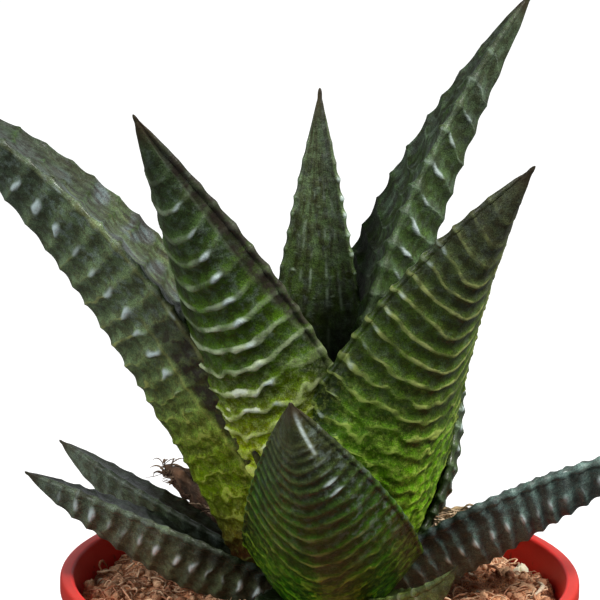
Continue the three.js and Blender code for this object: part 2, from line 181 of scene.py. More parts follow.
# Painted sheen colours: on the upper face, and on the crests of round leaves.
PAINTED_SHEEN_BLUE = (0.13, 0.17, 0.175)
CREST_SHEEN_BLUE = (0.085, 0.115, 0.120)
MARGIN_THICKNESS = 1.1  # in millimetres, as all lengths here
MARGIN_COLUMNS = 5
BACK_TURN = 0.92  # the back's columns crowd towards the margins as this share of a quarter sine
TIP_SHARE = 0.035  # the least width near the tip, as a share of the widest
TIP_START = 0.982  # from here on the tip is rounded off, over a little more than the share that is left
TIP_REACH = 0.0181
TIP_ROWS, TIP_ROW_SHARE = 12, 0.15  # the rows past the ridges: so many, and a share of the whole leaf's
DEPTH_FADE = 0.85  # the keel's depth goes with this power of the width
CLASP_END = 0.3  # up to here the channel is deeper, by this much more at the root
CLASP_DEPTH = 1.6
RIDGE_FADE = 0.9  # the ridges' ranks are counted up to here, and no ridge stands past their end
RIDGE_END = 0.97
CREST_REACH = 0.36
BAR_REACH = 0.42
KEEL_ROUNDING = 0.0012
KNOB_HEIGHT = 0.4
CENTRE_STEPS = 24
STREAK_PLACES = (-0.62, -0.28, 0.2, 0.48)  # in half widths from the middle of the upper face
# How wide the pale lines are: the painted highlights beside a fold and a gap in half widths, the one round
# the margin in radians, and the streaks along the upper face and the painted highlight on the keel in
# millimetres.
FOLD_LINE, GAP_LINE, MARGIN_LINE, STREAK_LINE, KEEL_LINE = 0.014, 0.016, 0.55, 0.13, 0.28
# The lumps of noise on a leaf's skin: their size, and what their table adds to the leaf's own seed.
GRAINS = {
    "sway": (5.5, 0), "wobble": (1.5, 7), "beads": (0.95, 11), "worn": (2.2, 13), "knobs": (3.1, 17),
    "bars": (2.6, 23), "margin": (2.4, 29), "gloss": (3.0, 31), "crest_sheen": (3.5, 41), "lines": (4.0, 0),
    "swell": (6.0, 3), "pimples": (1.3, 5), "frays": (2.2, 0), "streaks": (1.0, 19), "crumple": (2.6, 3),
    "creases": (1.0, 5),
}


# ---- numbers and colours ----
def colour(text):
    """A #rrggbb screen colour as the linear values that Blender works in."""
    c = np.array([int(text[i:i + 2], 16) for i in (1, 3, 5)]) / 255
    return np.where(c > 0.04045, ((c + 0.055) / 1.055) ** 2.4, c / 12.92)


def rgba(c):
    return (*map(float, c), 1.0)


def step(low, high, x):
    """0 below low, 1 above high, and a smooth S between."""
    t = np.clip((x - low) / (high - low), 0, 1)
    return t * t * (3 - 2 * t)


def bell(distance, reach):
    """1 at no distance, and less and less further off: exp(-(distance / reach)^2)."""
    return np.exp(-(distance / reach) ** 2)


def raised_cosine(turns):
    """0 at whole turns and 1 halfway between."""
    return (1 - np.cos(2 * np.pi * turns)) / 2


def blend(a, b, share):
    return a * (1 - share) + b * share


def towards(skin, target, share):
    """Colours on a grid, moved that share of the way to a target."""
    return skin + (np.array(target) - skin) * share[..., None]


def stacked(*parts):
    """Values that may be whole grids or single rows or columns, as the last axis of one whole grid."""
    return np.stack(np.broadcast_arrays(*parts), -1)


def around(count):
    """The angles of evenly spaced points on a circle."""
    return np.arange(count) * 2 * np.pi / count


def noise(points, size, seed):
    """Smooth noise from -1 to 1 on points (..., 3): random values on a cubic lattice of that cell size,
    picked by a shuffled table and blended with an S curve along each axis."""
    table = np.random.default_rng(seed).permutation(512)
    values = np.random.default_rng(seed + 1).uniform(-1, 1, 512)
    p = np.asarray(points) / size
    cell = np.floor(p).astype(int)
    f = p - cell
    f = f * f * (3 - 2 * f)
    total = 0
    for corner in np.ndindex(2, 2, 2):
        key, weight = 0, 1
        for axis, d in enumerate(corner):
            key = table[(key + cell[..., axis] + d) % 512]
            weight = weight * (f[..., axis] if d else 1 - f[..., axis])
        total = total + values[key] * weight
    return total


# ---- meshes ----
def skin_faces(rows, columns):
    """The faces of a closed skin over rows of points that each close on themselves: the quads between rows,
    and a fan at each end to the two points that come after them."""
    i, k = np.meshgrid(np.arange(rows - 1), np.arange(columns), indexing="ij")
    n = (k + 1) % columns
    quads = np.stack([i * columns + k, i * columns + n, (i + 1) * columns + n, (i + 1) * columns + k], -1)
    k = np.arange(columns)
    n = (k + 1) % columns
    low, high, last = rows * columns, rows * columns + 1, (rows - 1) * columns
    return quads.reshape(-1, 4), np.concatenate([stacked(low, n, k), stacked(high, last + k, last + n)])


def capped_grid(points):
    """Points (rows, columns, 3) as a closed skin, with a middle point for each end."""
    poles = np.stack([points[0].mean(0), points[-1].mean(0)])
    return np.concatenate([points.reshape(-1, 3), poles]), skin_faces(*points.shape[:2])


def copies(points, faces):
    """Like bits as one mesh, from their points (count, per, 3) and the faces of the first one: all points,
    all faces, and how many points each bit has."""
    count, per, _ = points.shape
    offsets = (np.arange(count) * per)[:, None, None]
    return points.reshape(-1, 3), [(f + offsets).reshape(-1, f.shape[1]) for f in faces], per


def piece(name, points, faces, material, slot, node=None):
    """A smooth mesh object from points in millimetres and arrays of 3- or 4-cornered faces, riding on the
    root. It stands for the CAD node, if one is named."""
    mesh = bpy.data.meshes.new(name)
    mesh.vertices.add(len(points))
    mesh.vertices.foreach_set("co", (np.asarray(points) * MM).astype(np.float32).ravel())
    corners = np.concatenate([f.ravel() for f in faces])
    sizes = np.concatenate([np.full(len(f), f.shape[1]) for f in faces])
    mesh.loops.add(len(corners))
    mesh.loops.foreach_set("vertex_index", corners.astype(np.int32))
    mesh.polygons.add(len(sizes))
    mesh.polygons.foreach_set("loop_start", (np.cumsum(sizes) - sizes).astype(np.int32))
    mesh.update(calc_edges=True)
    mesh.polygons.foreach_set("use_smooth", np.ones(len(sizes), bool))
    mesh.materials.append(material)
    thing = bpy.data.objects.new(name, mesh)
    bpy.context.scene.collection.objects.link(thing)
    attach(thing, "root")
    if node:
        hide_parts(node)
    return thing


def point_values(thing, name, kind, values):
    """Stores one value, vector or colour for each point of the mesh, for its material to read."""
    layer = thing.data.attributes.new(name, kind, "POINT")
    field = {"FLOAT": "value", "FLOAT_VECTOR": "vector", "FLOAT_COLOR": "color"}[kind]
    layer.data.foreach_set(field, np.asarray(values, np.float32).ravel())


# ---- materials ----
class Value:
    """A node's output in a sum: each operator adds one Math node."""

    def __init__(self, surface, socket):
        self.surface = surface
        self.socket = socket

    def math(self, operation, first, second):
        return self.surface.node("ShaderNodeMath", {"operation": operation}, {0: first, 1: second})

    def __add__(self, other):
        return self.math("ADD", self, other)

    def __radd__(self, other):
        return self.math("ADD", other, self)

    def __sub__(self, other):
        return self.math("SUBTRACT", self, other)

    def __rsub__(self, other):
        return self.math("SUBTRACT", other, self)

    def __mul__(self, other):
        return self.math("MULTIPLY", self, other)

    def __rmul__(self, other):
        return self.math("MULTIPLY", other, self)


class Surface:
    """A material under construction."""

    def __init__(self, name):
        self.material = bpy.data.materials.new(name)
        self.material.use_nodes = True
        self.tree = self.material.node_tree
        self.tree.nodes.clear()

    def node(self, kind, settings, inputs, output=0):
        """Adds a node: its settings first, then a value or a link for each named or numbered socket."""
        node = self.tree.nodes.new(kind)
        for key, value in settings.items():
            setattr(node, key, value)
        for key, value in inputs.items():
            if isinstance(value, Value):
                self.tree.links.new(value.socket, node.inputs[key])
            else:
                node.inputs[key].default_value = value
        return Value(self, node.outputs[output])

    def place(self):
        return self.node("ShaderNodeTexCoord", {}, {}, "Object")

    def attribute(self, name, output="Fac"):
        return self.node("ShaderNodeAttribute", {"attribute_name": name}, {}, output)

    def split(self, vector):
        """The x, y and z of a vector."""
        first = self.node("ShaderNodeSeparateXYZ", {}, {0: vector})
        return [Value(self, output) for output in first.socket.node.outputs]

    def noise(self, size_mm, detail=2.0, roughness=0.5, where=None, distortion=0.0):
        """Noise from 0 to 1 whose lumps are about that many millimetres across."""
        inputs = {
            "Vector": where or self.place(), "Scale": 1 / (size_mm * MM), "Detail": detail,
            "Roughness": roughness, "Distortion": distortion,
        }
        return self.node("ShaderNodeTexNoise", {}, inputs)

    def ramp(self, value, low, high, start=0.0, end=1.0):
        """start where value is below low, end where it is above high, and a smooth S between."""
        inputs = {"Value": value, "From Min": low, "From Max": high, "To Min": start, "To Max": end}
        return self.node("ShaderNodeMapRange", {"interpolation_type": "SMOOTHSTEP"}, inputs)

    def mix(self, factor, a, b, blend="MIX"):
        """A blend of two colours."""
        settings = {"data_type": "RGBA", "blend_type": blend, "clamp_factor": True}
        a, b = (x if isinstance(x, Value) else rgba(x) for x in (a, b))
        return self.node("ShaderNodeMix", settings, {0: factor, 6: a, 7: b}, 2)

    def times(self, base, tint):
        """A colour multiplied by another."""
        return self.mix(1.0, base, tint, "MULTIPLY")

    def bump(self, height, depth_mm, strength):
        inputs = {"Height": height, "Distance": depth_mm * MM, "Strength": strength}
        return self.node("ShaderNodeBump", {}, inputs)

    def finish(self, **inputs):
        """Ends the material in a Principled surface with these sockets, named with _ for a space."""
        sockets = {key.replace("_", " "): value for key, value in inputs.items()}
        shader = self.node("ShaderNodeBsdfPrincipled", {}, sockets)
        end = self.tree.nodes.new("ShaderNodeOutputMaterial")
        self.tree.links.new(shader.socket, end.inputs["Surface"])
        return self.material


def leaf_material():
    """Waxy skin: mottled green and brown between pale beaded crests, with knobs and brown tips, painted shade
    on the flanks, and painted glints and sheen.
    """
    s = Surface("leaf_skin")
    crest, reach, bead = s.split(s.attribute("wave", "Vector"))
    along, across, pale = s.split(s.attribute("place", "Vector"))
    dark, streaks_and_highlights, knob = s.split(s.attribute("marks", "Vector"))
    mottle_and_sheen, flecks, upper = s.split(s.attribute("spots", "Vector"))
    skin = s.attribute("skin", "Color")
    ridge = s.attribute("ridge_colour", "Color")
    fine = s.noise(0.4, 3.0, 0.6)
    patch = s.noise(1.7, 3.0, 0.6)
    broad = s.noise(5.0, 2.0, 0.5)
    speck = s.noise(0.16, 2.0, 0.6)
    cool = s.noise(1.2, 2.0, 0.6)
    lengthwise = s.node("ShaderNodeCombineXYZ", {}, {0: along * 16.0, 1: across * 5.0})
    streak = s.noise(1000, 3.0, 0.6, lengthwise)

    # The skin between the ridges: blotches, streaks, bluish spots that are partly mottling and partly painted
    # sheen, flecks and specks, and painted shade on the dark flanks.
    base = s.mix(s.ramp(patch, 0.44, 0.58) * 0.75, skin, s.times(skin, (0.54, 0.42, 0.42)))
    base = s.mix(s.ramp(streak, 0.46, 0.60) * upper * 0.85, base, s.times(base, (0.42, 0.32, 0.28)))
    spots = s.ramp(s.noise(1.3, 2.0, 0.55) * 0.7 + streak * 0.3, 0.47, 0.66) * s.ramp(along, 0.3, 0.6) * mottle_and_sheen
    base = s.mix(spots * 0.75, base, (0.17, 0.22, 0.20))
    fleck = s.ramp(s.noise(0.9, 4.0, 0.65), 0.46, 0.64) * flecks
    base = s.mix(fleck * 0.5, base, s.mix(0.3, ridge, skin))
    base = s.mix(s.ramp(broad, 0.40, 0.62) * 0.3, base, (0.010, 0.014, 0.005))
    base = s.mix(s.ramp(speck, 0.50, 0.64) * 0.45, base, s.times(base, (2.3, 2.2, 1.9)))
    base = s.mix(s.ramp(speck, 0.38, 0.50, 1.0, 0.0) * 0.45, base, (0.006, 0.006, 0.003))
    # Painted shade on the flanks past the folds and in the gap beside a neighbour.
    base = s.mix(dark * s.ramp(patch, 0.42, 0.58, 0.62, 0.92), base, (0.026, 0.020, 0.015))

    # The pale line on each crest, broken into beads, and a painted glint on its whitest places.
    off = (1 - crest) * reach + (fine - 0.5) * 0.10
    beads = 0.3 + 0.7 * s.ramp(bead + fine * 0.5, 0.3, 0.9)
    line = s.ramp(off, 0.03, 0.15, 1.0, 0.0) * beads * pale
    base = s.mix(line * 0.95, base, ridge)
    white = line * s.ramp(pale, 0.80, 0.98) * s.ramp(along, 0.22, 0.4) * s.ramp(bead + fine * 0.4, 0.6, 0.9)
    base = s.mix(white, base, (0.80, 0.88, 0.70))
    # The painted highlights along folds, gaps, margins and keel, and the upper face's streaks, in the crest
    # colour.
    base = s.mix(streaks_and_highlights * 0.6, base, ridge)
    # Painted glints: the knobs, and the glints in the margin and keel highlights, turn bluish white.
    knob_glint = s.ramp(knob, 0.08, 0.55)
    base = s.mix(knob_glint * 0.9, base, (0.60, 0.72, 0.71))
    tip = s.ramp(along + fine * 0.02, 0.93, 0.99)
    base = s.mix(tip * 0.8, base, (0.045, 0.030, 0.017))
    rough = 0.28 + 0.24 * s.ramp(cool, 0.35, 0.65)
    coat = 0.04 + 0.5 * knob_glint + 0.3 * s.ramp(cool, 0.5, 0.7) * s.ramp(along, 0.25, 0.5)
    height = fine * 0.35 + speck * 0.12 + patch
    return s.finish(Base_Color=base, Roughness=rough, Specular_IOR_Level=0.2, Coat_Weight=coat,
                    Coat_Roughness=0.16, Normal=s.bump(height, 0.4, 0.7))


def dry_material():
    """Dry papery skin with lengthwise veins and dark blotches."""
    s = Surface("dry_skin")
    along, across, _ = s.split(s.attribute("place", "Vector"))
    skin = s.attribute("skin", "Color")
    fine = s.noise(0.5, 4.0, 0.65)
    blotch = s.noise(2.2, 3.0, 0.6)
    vein = s.node("ShaderNodeTexWave", {"bands_direction": "X"}, {
        "Vector": s.node("ShaderNodeCombineXYZ", {}, {0: across, 1: along * 0.3}),
        "Scale": 7.0, "Distortion": 2.5, "Detail": 2.0,
    }, 1)
    base = s.mix(s.ramp(blotch, 0.4, 0.65) * 0.75, skin, (0.03, 0.018, 0.010))
    base = s.mix(s.ramp(fine, 0.5, 0.8) * 0.5, base, (0.42, 0.30, 0.18))
    base = s.mix(s.ramp(vein, 0.6, 0.9) * 0.35, base, (0.05, 0.03, 0.018))
    return s.finish(Base_Color=base, Roughness=0.85, Normal=s.bump(fine + vein * 0.4, 0.35, 0.8))


def stem_material():
    """Rough brown-green stem."""
    s = Surface("stem_skin")
    fine = s.noise(0.7, 4.0, 0.6)
    base = s.mix(s.ramp(fine, 0.35, 0.7), (0.05, 0.045, 0.018), (0.13, 0.085, 0.045))
    return s.finish(Base_Color=base, Roughness=0.8, Normal=s.bump(fine, 0.4, 0.8))


def pot_material(red):
    """Satin red plastic: faint mottling, a fine moulded grain and a little dried soil inside the rim, with
    the inside wall painted a deeper, brighter red as painted light.
    """
    s = Surface("pot_plastic")
    z = s.split(s.place())[2]
    fine = s.noise(0.25, 3.0, 0.6)
    broad = s.noise(6.0, 3.0, 0.5)
    red = np.array(red[:3])
    base = s.mix(s.ramp(broad, 0.3, 0.75), red, red * 0.94)
    base = s.mix(s.ramp(fine, 0.5, 0.8) * 0.25, base, red * 0.75 + 0.02)
    # Painted light: the inside wall is a deeper, brighter red than the outside.
    inside = s.ramp(s.attribute("inside"), 0.2, 0.8)
    base = s.mix(inside, base, s.times(base, (1.25, 0.8, 0.8)))
    low = s.ramp(z, (RIM_Z - 4.6) * MM, (RIM_Z - 2.6) * MM, 1.0, 0.0)
    dust = s.ramp(s.noise(1.6, 4.0, 0.65), 0.54, 0.72) * low
    base = s.mix(dust * inside * 0.8, base, (0.10, 0.055, 0.032))
    rough = 0.42 + 0.14 * broad + 0.3 * dust * inside
    return s.finish(Base_Color=base, Roughness=rough, Specular_IOR_Level=0.25, Normal=s.bump(fine, 0.05, 0.5))


def soil_material(dark, light):
    """Moist peat and coir: dark moist patches, brown lumps and tan crumbs, with painted shade in the low
    places of the relief.
    """
    s = Surface("soil_peat")
    lumps = s.noise(2.4, 5.0, 0.62)
    crumbs = s.noise(0.8, 4.0, 0.65, distortion=0.4)
    grain = s.noise(0.3, 3.0, 0.6)
    height = s.attribute("relief")
    base = s.mix(s.ramp(lumps, 0.38, 0.62), dark, light)
    base = s.mix(s.ramp(crumbs, 0.52, 0.66) * 0.7, base, (0.88, 0.52, 0.32))
    base = s.mix(s.ramp(grain, 0.42, 0.55, 0.6, 0.0), base, (0.09, 0.031, 0.017))
    # Painted shade: the low places of the relief, and the skin below the top, are darker.
    base = s.mix(s.ramp(height, -1.1, -0.1, 0.45, 0.0), base, (0.06, 0.022, 0.012))
    return s.finish(Base_Color=base, Roughness=0.92, Normal=s.bump(crumbs + grain * 0.5, 0.5, 0.9))


def bits_material(name, low, high, size_mm):
    """Loose bits, each with its own tint between two colours."""
    s = Surface(name)
    fine = s.noise(size_mm, 4.0, 0.65)
    base = s.mix(s.attribute("tint"), low, high)
    base = s.mix(s.ramp(fine, 0.35, 0.65, 0.5, 0.0), base, np.array(low) * 0.45)
    return s.finish(Base_Color=base, Roughness=0.9, Normal=s.bump(fine, 0.3, 0.8))


# ---- leaves ----
def leaf_directions(leaf, s):
    """Unit vectors along the leaf at s: the heading turns evenly, and the slope goes from root to tip as
    1 - (1 - s) ^ exponent."""
    azimuth = np.radians(leaf.heading[0] + leaf.heading[1] * s)
    first, last, exponent = leaf.rise
    slope = np.radians(first + (last - first) * (1 - np.maximum(0, 1 - s) ** exponent))
    return stacked(np.cos(slope) * np.cos(azimuth), np.cos(slope) * np.sin(azimuth), np.sin(slope)), azimuth


def leaf_spine(leaf, s):
    """For each s: the centre line's point, summed up in short steps from the root, and the directions
    across the leaf (level, then rolled about its length) and from its back to its upper face."""
    radius, azimuth, height = leaf.root
    angle = math.radians(azimuth)
    root = np.array([radius * math.cos(angle), radius * math.sin(angle), SOIL_Z + height])
    middles = s[:, None] * (np.arange(CENTRE_STEPS) + 0.5) / CENTRE_STEPS
    centre = root + leaf_directions(leaf, middles)[0].mean(1) * (leaf.size[0] * s)[:, None]
    along, azimuth = leaf_directions(leaf, s)
    level = stacked(-np.sin(azimuth), np.cos(azimuth), 0)
    roll = np.radians(leaf.roll[0] + (leaf.roll[1] - leaf.roll[0]) * s)[:, None]
    side = level * np.cos(roll) + np.cross(along, level) * np.sin(roll)
    return centre, side, np.cross(along, side)


def leaf_widths(leaf, s):
    """Half the blade's width as a share of its widest: a quarter sine up to the widest place, then
    1 - t ^ taper."""
    base, widest, taper = leaf.edge
    rising = base + (1 - base) * np.sin(np.pi / 2 * np.minimum(s / widest, 1))
    t = np.clip((s - widest) / (1 - widest), 0, 1)
    return np.where(s < widest, rising, np.maximum(1 - t ** taper, TIP_SHARE))


def leaf_outline(back_columns, face_columns):
    """One turn round a leaf: x from -1 to 1 over the back, a half circle at the margin, back over the upper
    face and a half circle again. Gives x, the angle at the margins, and which part each column is on."""
    back = np.sin(np.linspace(-1, 1, back_columns) * np.pi / 2 * BACK_TURN) / math.sin(np.pi / 2 * BACK_TURN)
    face = -np.linspace(-1, 1, face_columns)
    turn = np.linspace(0, np.pi, MARGIN_COLUMNS + 2)[1:-1]
    x = np.concatenate([back, np.ones(MARGIN_COLUMNS), face, -np.ones(MARGIN_COLUMNS)])
    angle = np.concatenate([0 * back, turn, 0 * face, turn[::-1]])
    return x, angle, np.repeat([0, 1, 2, 3], [back_columns, MARGIN_COLUMNS, face_columns, MARGIN_COLUMNS])


class Skin:
    """One leaf's skin as a grid: its rows are at s, from 0 at the root to 1 at the tip, its columns at x."""

    def __init__(self, leaf, seed, settings, dry):
        self.leaf, self.seed, self.dry = leaf, seed, dry
        length, row_gap = leaf.size[0], settings.row_gap / MM
        ridged = np.linspace(0, RIDGE_FADE, int(RIDGE_FADE * length / row_gap))[:-1]
        turn = np.linspace(0, np.pi / 2, TIP_ROWS + int(TIP_ROW_SHARE * length / row_gap))
        s = np.concatenate([ridged, RIDGE_FADE + (1 - RIDGE_FADE) * np.sin(turn)])
        self.centre, self.side, self.inward = leaf_spine(leaf, s)
        self.s = s[:, None]
        self.x, self.angle, self.part = leaf_outline(settings.back_columns, settings.face_columns)
        self.upper = self.part == 2
        self.margin = (self.part == 1) | (self.part == 3)
        beyond = np.clip(self.s - TIP_START, 0, 1) / TIP_REACH
        self.round_tip = np.sqrt(np.clip(1 - beyond ** 2, 0, 1))
        self.share = leaf_widths(leaf, self.s) * self.round_tip
        self.flat = self.section()
        self.base = self.place(*self.flat)

    def place(self, across, inward):
        return (self.centre[:, None] + self.side[:, None] * across[..., None]
                + self.inward[:, None] * inward[..., None])

    def grain(self, name, points=None):
        """The named noise on the plain skin, or on other points."""
        size, seed = GRAINS[name]
        return noise(self.base if points is None else points, size, self.seed + seed)

    def section(self):
        """How far the plain skin lies across the leaf and inwards. At x times the half width, the back lies
        at cup x^2 - depth (keel (1 - |x|) + (1 - keel)(1 - |x|^flatness)) - half the margin's thickness,
        and the upper face at cup x^2 + half that thickness."""
        leaf, s, x, share = self.leaf, self.s, self.x, self.share
        length, width, thick = leaf.size
        keel, channel = leaf.section
        depth = thick * share ** DEPTH_FADE
        rim = np.minimum(MARGIN_THICKNESS, np.maximum(0.4, depth * 0.7)) / 2 * np.minimum(1, share * 12)
        full_half = width / 2 * share
        if self.dry:
            frays = self.grain("frays", stacked(s * length, 3 * np.sign(x), 0))
            full_half = full_half * (0.92 + 0.28 * frays)
        self.half = half = full_half - 0.5 * rim
        clasp = CLASP_DEPTH * np.maximum(0, 1 - s / CLASP_END) ** 2
        cup = channel * full_half * (1 + clasp)
        wedge = keel * (1 - np.minimum(np.sqrt(x * x + KEEL_ROUNDING), 1))
        back = cup * x * x - depth * (wedge + (1 - keel) * (1 - np.abs(x) ** leaf.flatness)) - rim
        flat_x = np.where(self.margin, x * (half + rim * np.sin(self.angle)), x * half)
        face = np.where(self.part == 0, back, cup * x * x + rim)
        return flat_x, np.where(self.margin, cup - rim * np.cos(self.angle), face)

    def points(self):
        """The skin, moved outwards in the plane of each ring by its relief and its swelling."""
        flat_x, flat_y = self.flat
        ahead_x, ahead_y = (np.roll(flat, -1, 1) - np.roll(flat, 1, 1) for flat in self.flat)
        stretch = np.sqrt(ahead_x ** 2 + ahead_y ** 2) + 1e-9
        swell = 0.10 * self.grain("swell") * self.share + 0.035 * self.grain("pimples")
        if self.dry:
            swell = swell + 0.55 * self.grain("crumple", self.base * (1, 1, 0.6))
            swell = swell + 0.28 * self.grain("creases")
        move = self.relief() + swell * self.round_tip
        return self.place(flat_x + ahead_y / stretch * move, flat_y - ahead_x / stretch * move)

    def relief(self):
        """How far ridges, bars and knobs stand out. Ridge number n lies where count (1 - (1 - s / fade) ^
        crowding) - bow |x|^1.6 + wobble = n + 1/2. The skin rises there by a raised cosine and by a bell
        exp(-(distance / reach)^2), which small lumps break into beads."""
        leaf, s, x, upper, half = self.leaf, self.s, self.x, self.upper, self.half
        count, ridge_height, bow, crowding = leaf.ridges
        _, roundness, ragged, _ = leaf.look
        bars, streaks, gloss, _ = leaf.face
        length = leaf.size[0]
        t = np.clip(s / RIDGE_FADE, 0, 1)
        rank = count * (1 - (1 - t) ** crowding)
        spacing = length * RIDGE_FADE / (count * crowding) * np.maximum(1 - t, 0.02) ** (1 - crowding)
        low = 1 - step(0.22, 0.58, s)
        calm = 1 - step(0.75, 0.95, s)
        wobble = 0.2 * self.grain("sway") + (0.09 + 0.52 * ragged * low) * self.grain("wobble")
        phase = rank - bow * (0.3 + 0.7 * calm) * np.abs(x) ** 1.6 + wobble
        crest = raised_cosine(phase)
        reach = (spacing / np.pi) ** 2
        away = (1 - crest) * reach
        bead = self.grain("beads")
        worn = ragged * np.maximum(low, 0.45)
        broken = step(-0.6 + 0.4 * worn, 0.1 + 0.35 * worn, self.grain("worn"))
        bar = np.exp(-away / BAR_REACH ** 2) * step(-0.7, 0.1, self.grain("bars"))
        dots = self.streak_dots() * streaks
        dots = np.where(upper, np.maximum(dots, 0.8 * bars * bar * (1 - gloss)), 1.0)
        fade = np.clip(rank / 2, 0, 1) * (0.2 + 0.8 * calm) * (s < RIDGE_END)

        *sides, knob_place, knobs_from = leaf.knobs
        size = np.where(x < 0, *sides)
        inside = 1 - 0.9 * size * step(knob_place, knob_place + 0.1, np.abs(x)) * ~upper * (knob_place < 0.88)
        broad = crest * (0.3 + 0.6 * roundness) * np.where(upper, 0.12 + 0.6 * bars, 1.0)
        beads = np.exp(-away / CREST_REACH ** 2) * (0.62 + 0.38 * bead)
        fine = beads * (0.35 + 0.65 * broken) * dots * inside
        bar_lift = np.where(upper, 0.9 * bars * bar, 0)
        lift = ridge_height * fade * (broad + (0.85 - 0.5 * roundness) * fine + bar_lift)

        sharp = max(0, 0.35 - roundness) / 0.35
        wide = (0.35 + 0.5 * size) * (1 + 0.4 * roundness ** 2 + 0.8 * sharp)
        tall = (0.35 + 0.35 * size) * (1 - 0.4 * roundness ** 2 - 0.5 * sharp)
        knob = size * bell((np.abs(x) - knob_place) * half, wide) * ~upper
        knob = knob * np.exp(-away / tall ** 2) * calm * (0.4 + 0.6 * step(-0.5, 0.3, self.grain("knobs")))
        knob = knob * step(knobs_from - 0.05, knobs_from + 0.05, s)
        self.ridges = SimpleNamespace(
            low=low, phase=phase, crest=crest, reach=reach, bead=bead, broken=broken, bar=bar, dots=dots,
            fade=fade, inside=inside, knob=knob)
        return lift + KNOB_HEIGHT * knob

    def streak_dots(self):
        """Small dots in six lengthwise rows on the upper face."""
        rows = raised_cosine(3 * np.abs(self.x) + 0.35) ** 3
        long = stacked(self.x * self.half * 1.2, self.s * self.leaf.size[0] * 0.25, 0)
        return rows * step(-0.1, 0.5, self.grain("streaks", long)) * step(0.22, 0.42, self.s)

    def marks(self):
        """How dark the painted shade on the flanks and the painted shadow in the gap are, how pale the lines
        along the leaf are (painted highlights, and the upper face's streaks), and how bright the knobs'
        painted glints are.
        """
        leaf, s, x, half, broken = self.leaf, self.s, self.x, self.half, self.ridges.broken
        back = ~self.upper
        # Painted shade: past each fold the flank turns dark, less so on the -x side, with a thin painted
        # highlight along the fold.
        fold = np.where(x < 0, *leaf.folds)
        fold = fold + np.maximum(0, 1.04 - fold) * (1 - step(0.36, 0.72, s)) * (x > 0)
        dark = step(-0.04, 0.04, np.abs(x) - fold) * back * step(0.30, 0.48, s) * np.where(x < 0, 0.35, 1)
        pale = 0.12 * bell(x - fold, FOLD_LINE) * back * step(0.30, 0.45, s) * (0.3 + 0.7 * broken)

        # The painted shadow in the gap beside a neighbour narrows towards the root, and the margin shows as a
        # pale painted highlight beside it.
        gap_edge = 0.95 - 0.20 * step(0.16, 0.40, s)
        gap_reach = step(0.12, 0.20, s) * (1 - step(0.42, 0.56, s))
        dark = np.maximum(dark, step(gap_edge - 0.03, gap_edge + 0.04, leaf.gap * x) * back * gap_reach)
        pale = pale + 0.45 * bell(leaf.gap * x - gap_edge + 0.04, GAP_LINE) * back * gap_reach

        # A painted highlight along the margin's rim, broken up, with painted glints in it.
        margin = bell(self.angle - np.pi / 2, MARGIN_LINE) * self.margin * leaf.face[3]
        margin = margin * (step(0.3, 0.45, s) * (1 - 0.6 * step(0.7, 0.85, s)))
        knob = np.maximum(self.ridges.knob, 0.5 * margin * step(-0.1, 0.6, self.grain("margin")))
        pale = pale + 0.5 * margin * (0.4 + 0.6 * broken)

        bend = 0.05 * self.grain("lines")
        for line in STREAK_PLACES:
            thin = bell((x - line - bend) * half, STREAK_LINE) * (1 - step(0.70, 0.84, s))
            patchy = step(-0.2, 0.4, noise(self.base, 1.6, self.seed + 37 + int(9 * line)))
            pale = pale + 0.8 * leaf.face[1] * self.upper * thin * patchy

        # A painted highlight along the keel, leaning towards +x near the tip, with a painted glint in it.
        strength, start, end = leaf.keel_line
        keel = step(start, start + 0.05, s) * (1 - step(end, end + 0.03, s)) * strength
        lean = 0.31 * leaf.size[0] * (1 - s) * (start > 0.8)
        keel = keel * bell(x * half - lean, KEEL_LINE) * back
        return dark, pale + keel, np.maximum(knob, 0.45 * keel)

    def colours(self):
        """The skin's colour and the crests', from the leaf's palette, with painted shade and painted sheen.
        """
        leaf, s, x, upper, ridges = self.leaf, self.s, self.x, self.upper, self.ridges
        _, roundness, ragged, _ = leaf.look
        bars, _, gloss, _ = leaf.face
        palette = [colour(c) for c in PALETTES[leaf.skin]]
        skin = palette[0]
        for stop, ends in zip(palette[1:], SKIN_BLENDS):
            skin = blend(skin, stop, step(*ends, s))
        # Painted shade towards the root, between the leaf's shade shares; the crests follow it and are darker
        # at the very root too.
        lit = step(*leaf.shade, s)
        skin = (skin * (0.22 + 0.78 * lit))[:, None]
        crest = blend(palette[4], palette[5], step(0.15, 0.6, s))
        crest = crest * (0.3 + 0.7 * lit) * (0.45 + 0.55 * step(*SKIN_BLENDS[0], s))

        # Painted shade: the upper face darker towards the root, and every margin low down darker, as in its
        # neighbours' shadow.
        shadow = 0.2 + 0.8 * step(0.28, 0.48, s)
        margin_shadow = 1 - 0.75 * step(0.76, 0.96, np.abs(x)) * (1 - step(0.38, 0.55, s))
        skin = skin * np.where(upper, 0.72 * shadow, margin_shadow)[..., None]
        skin = towards(skin, BAR_GREEN, 0.8 * bars * ridges.bar * upper * step(0.3, 0.45, s))
        # Painted bluish sheen on the upper face between the bars.
        sheen = gloss * upper * (1 - ridges.bar) * step(-0.25, 0.35, self.grain("gloss"))
        skin = towards(skin, PAINTED_SHEEN_BLUE, sheen * (step(0.3, 0.45, s) * (1 - 0.75 * step(0.66, 0.8, s))))
        # Painted light and shade from the relief: the skin is paler on a crest and just tipwards of it, as if
        # lit from above, and darker in the valleys.
        above = raised_cosine(ridges.phase - 0.08) ** 2
        depth = (1.1 - 0.7 * roundness) * (1 - 0.5 * ragged * ridges.low)
        skin = skin * (1 + depth * (above - 0.36) * ridges.fade * ~upper)[..., None]
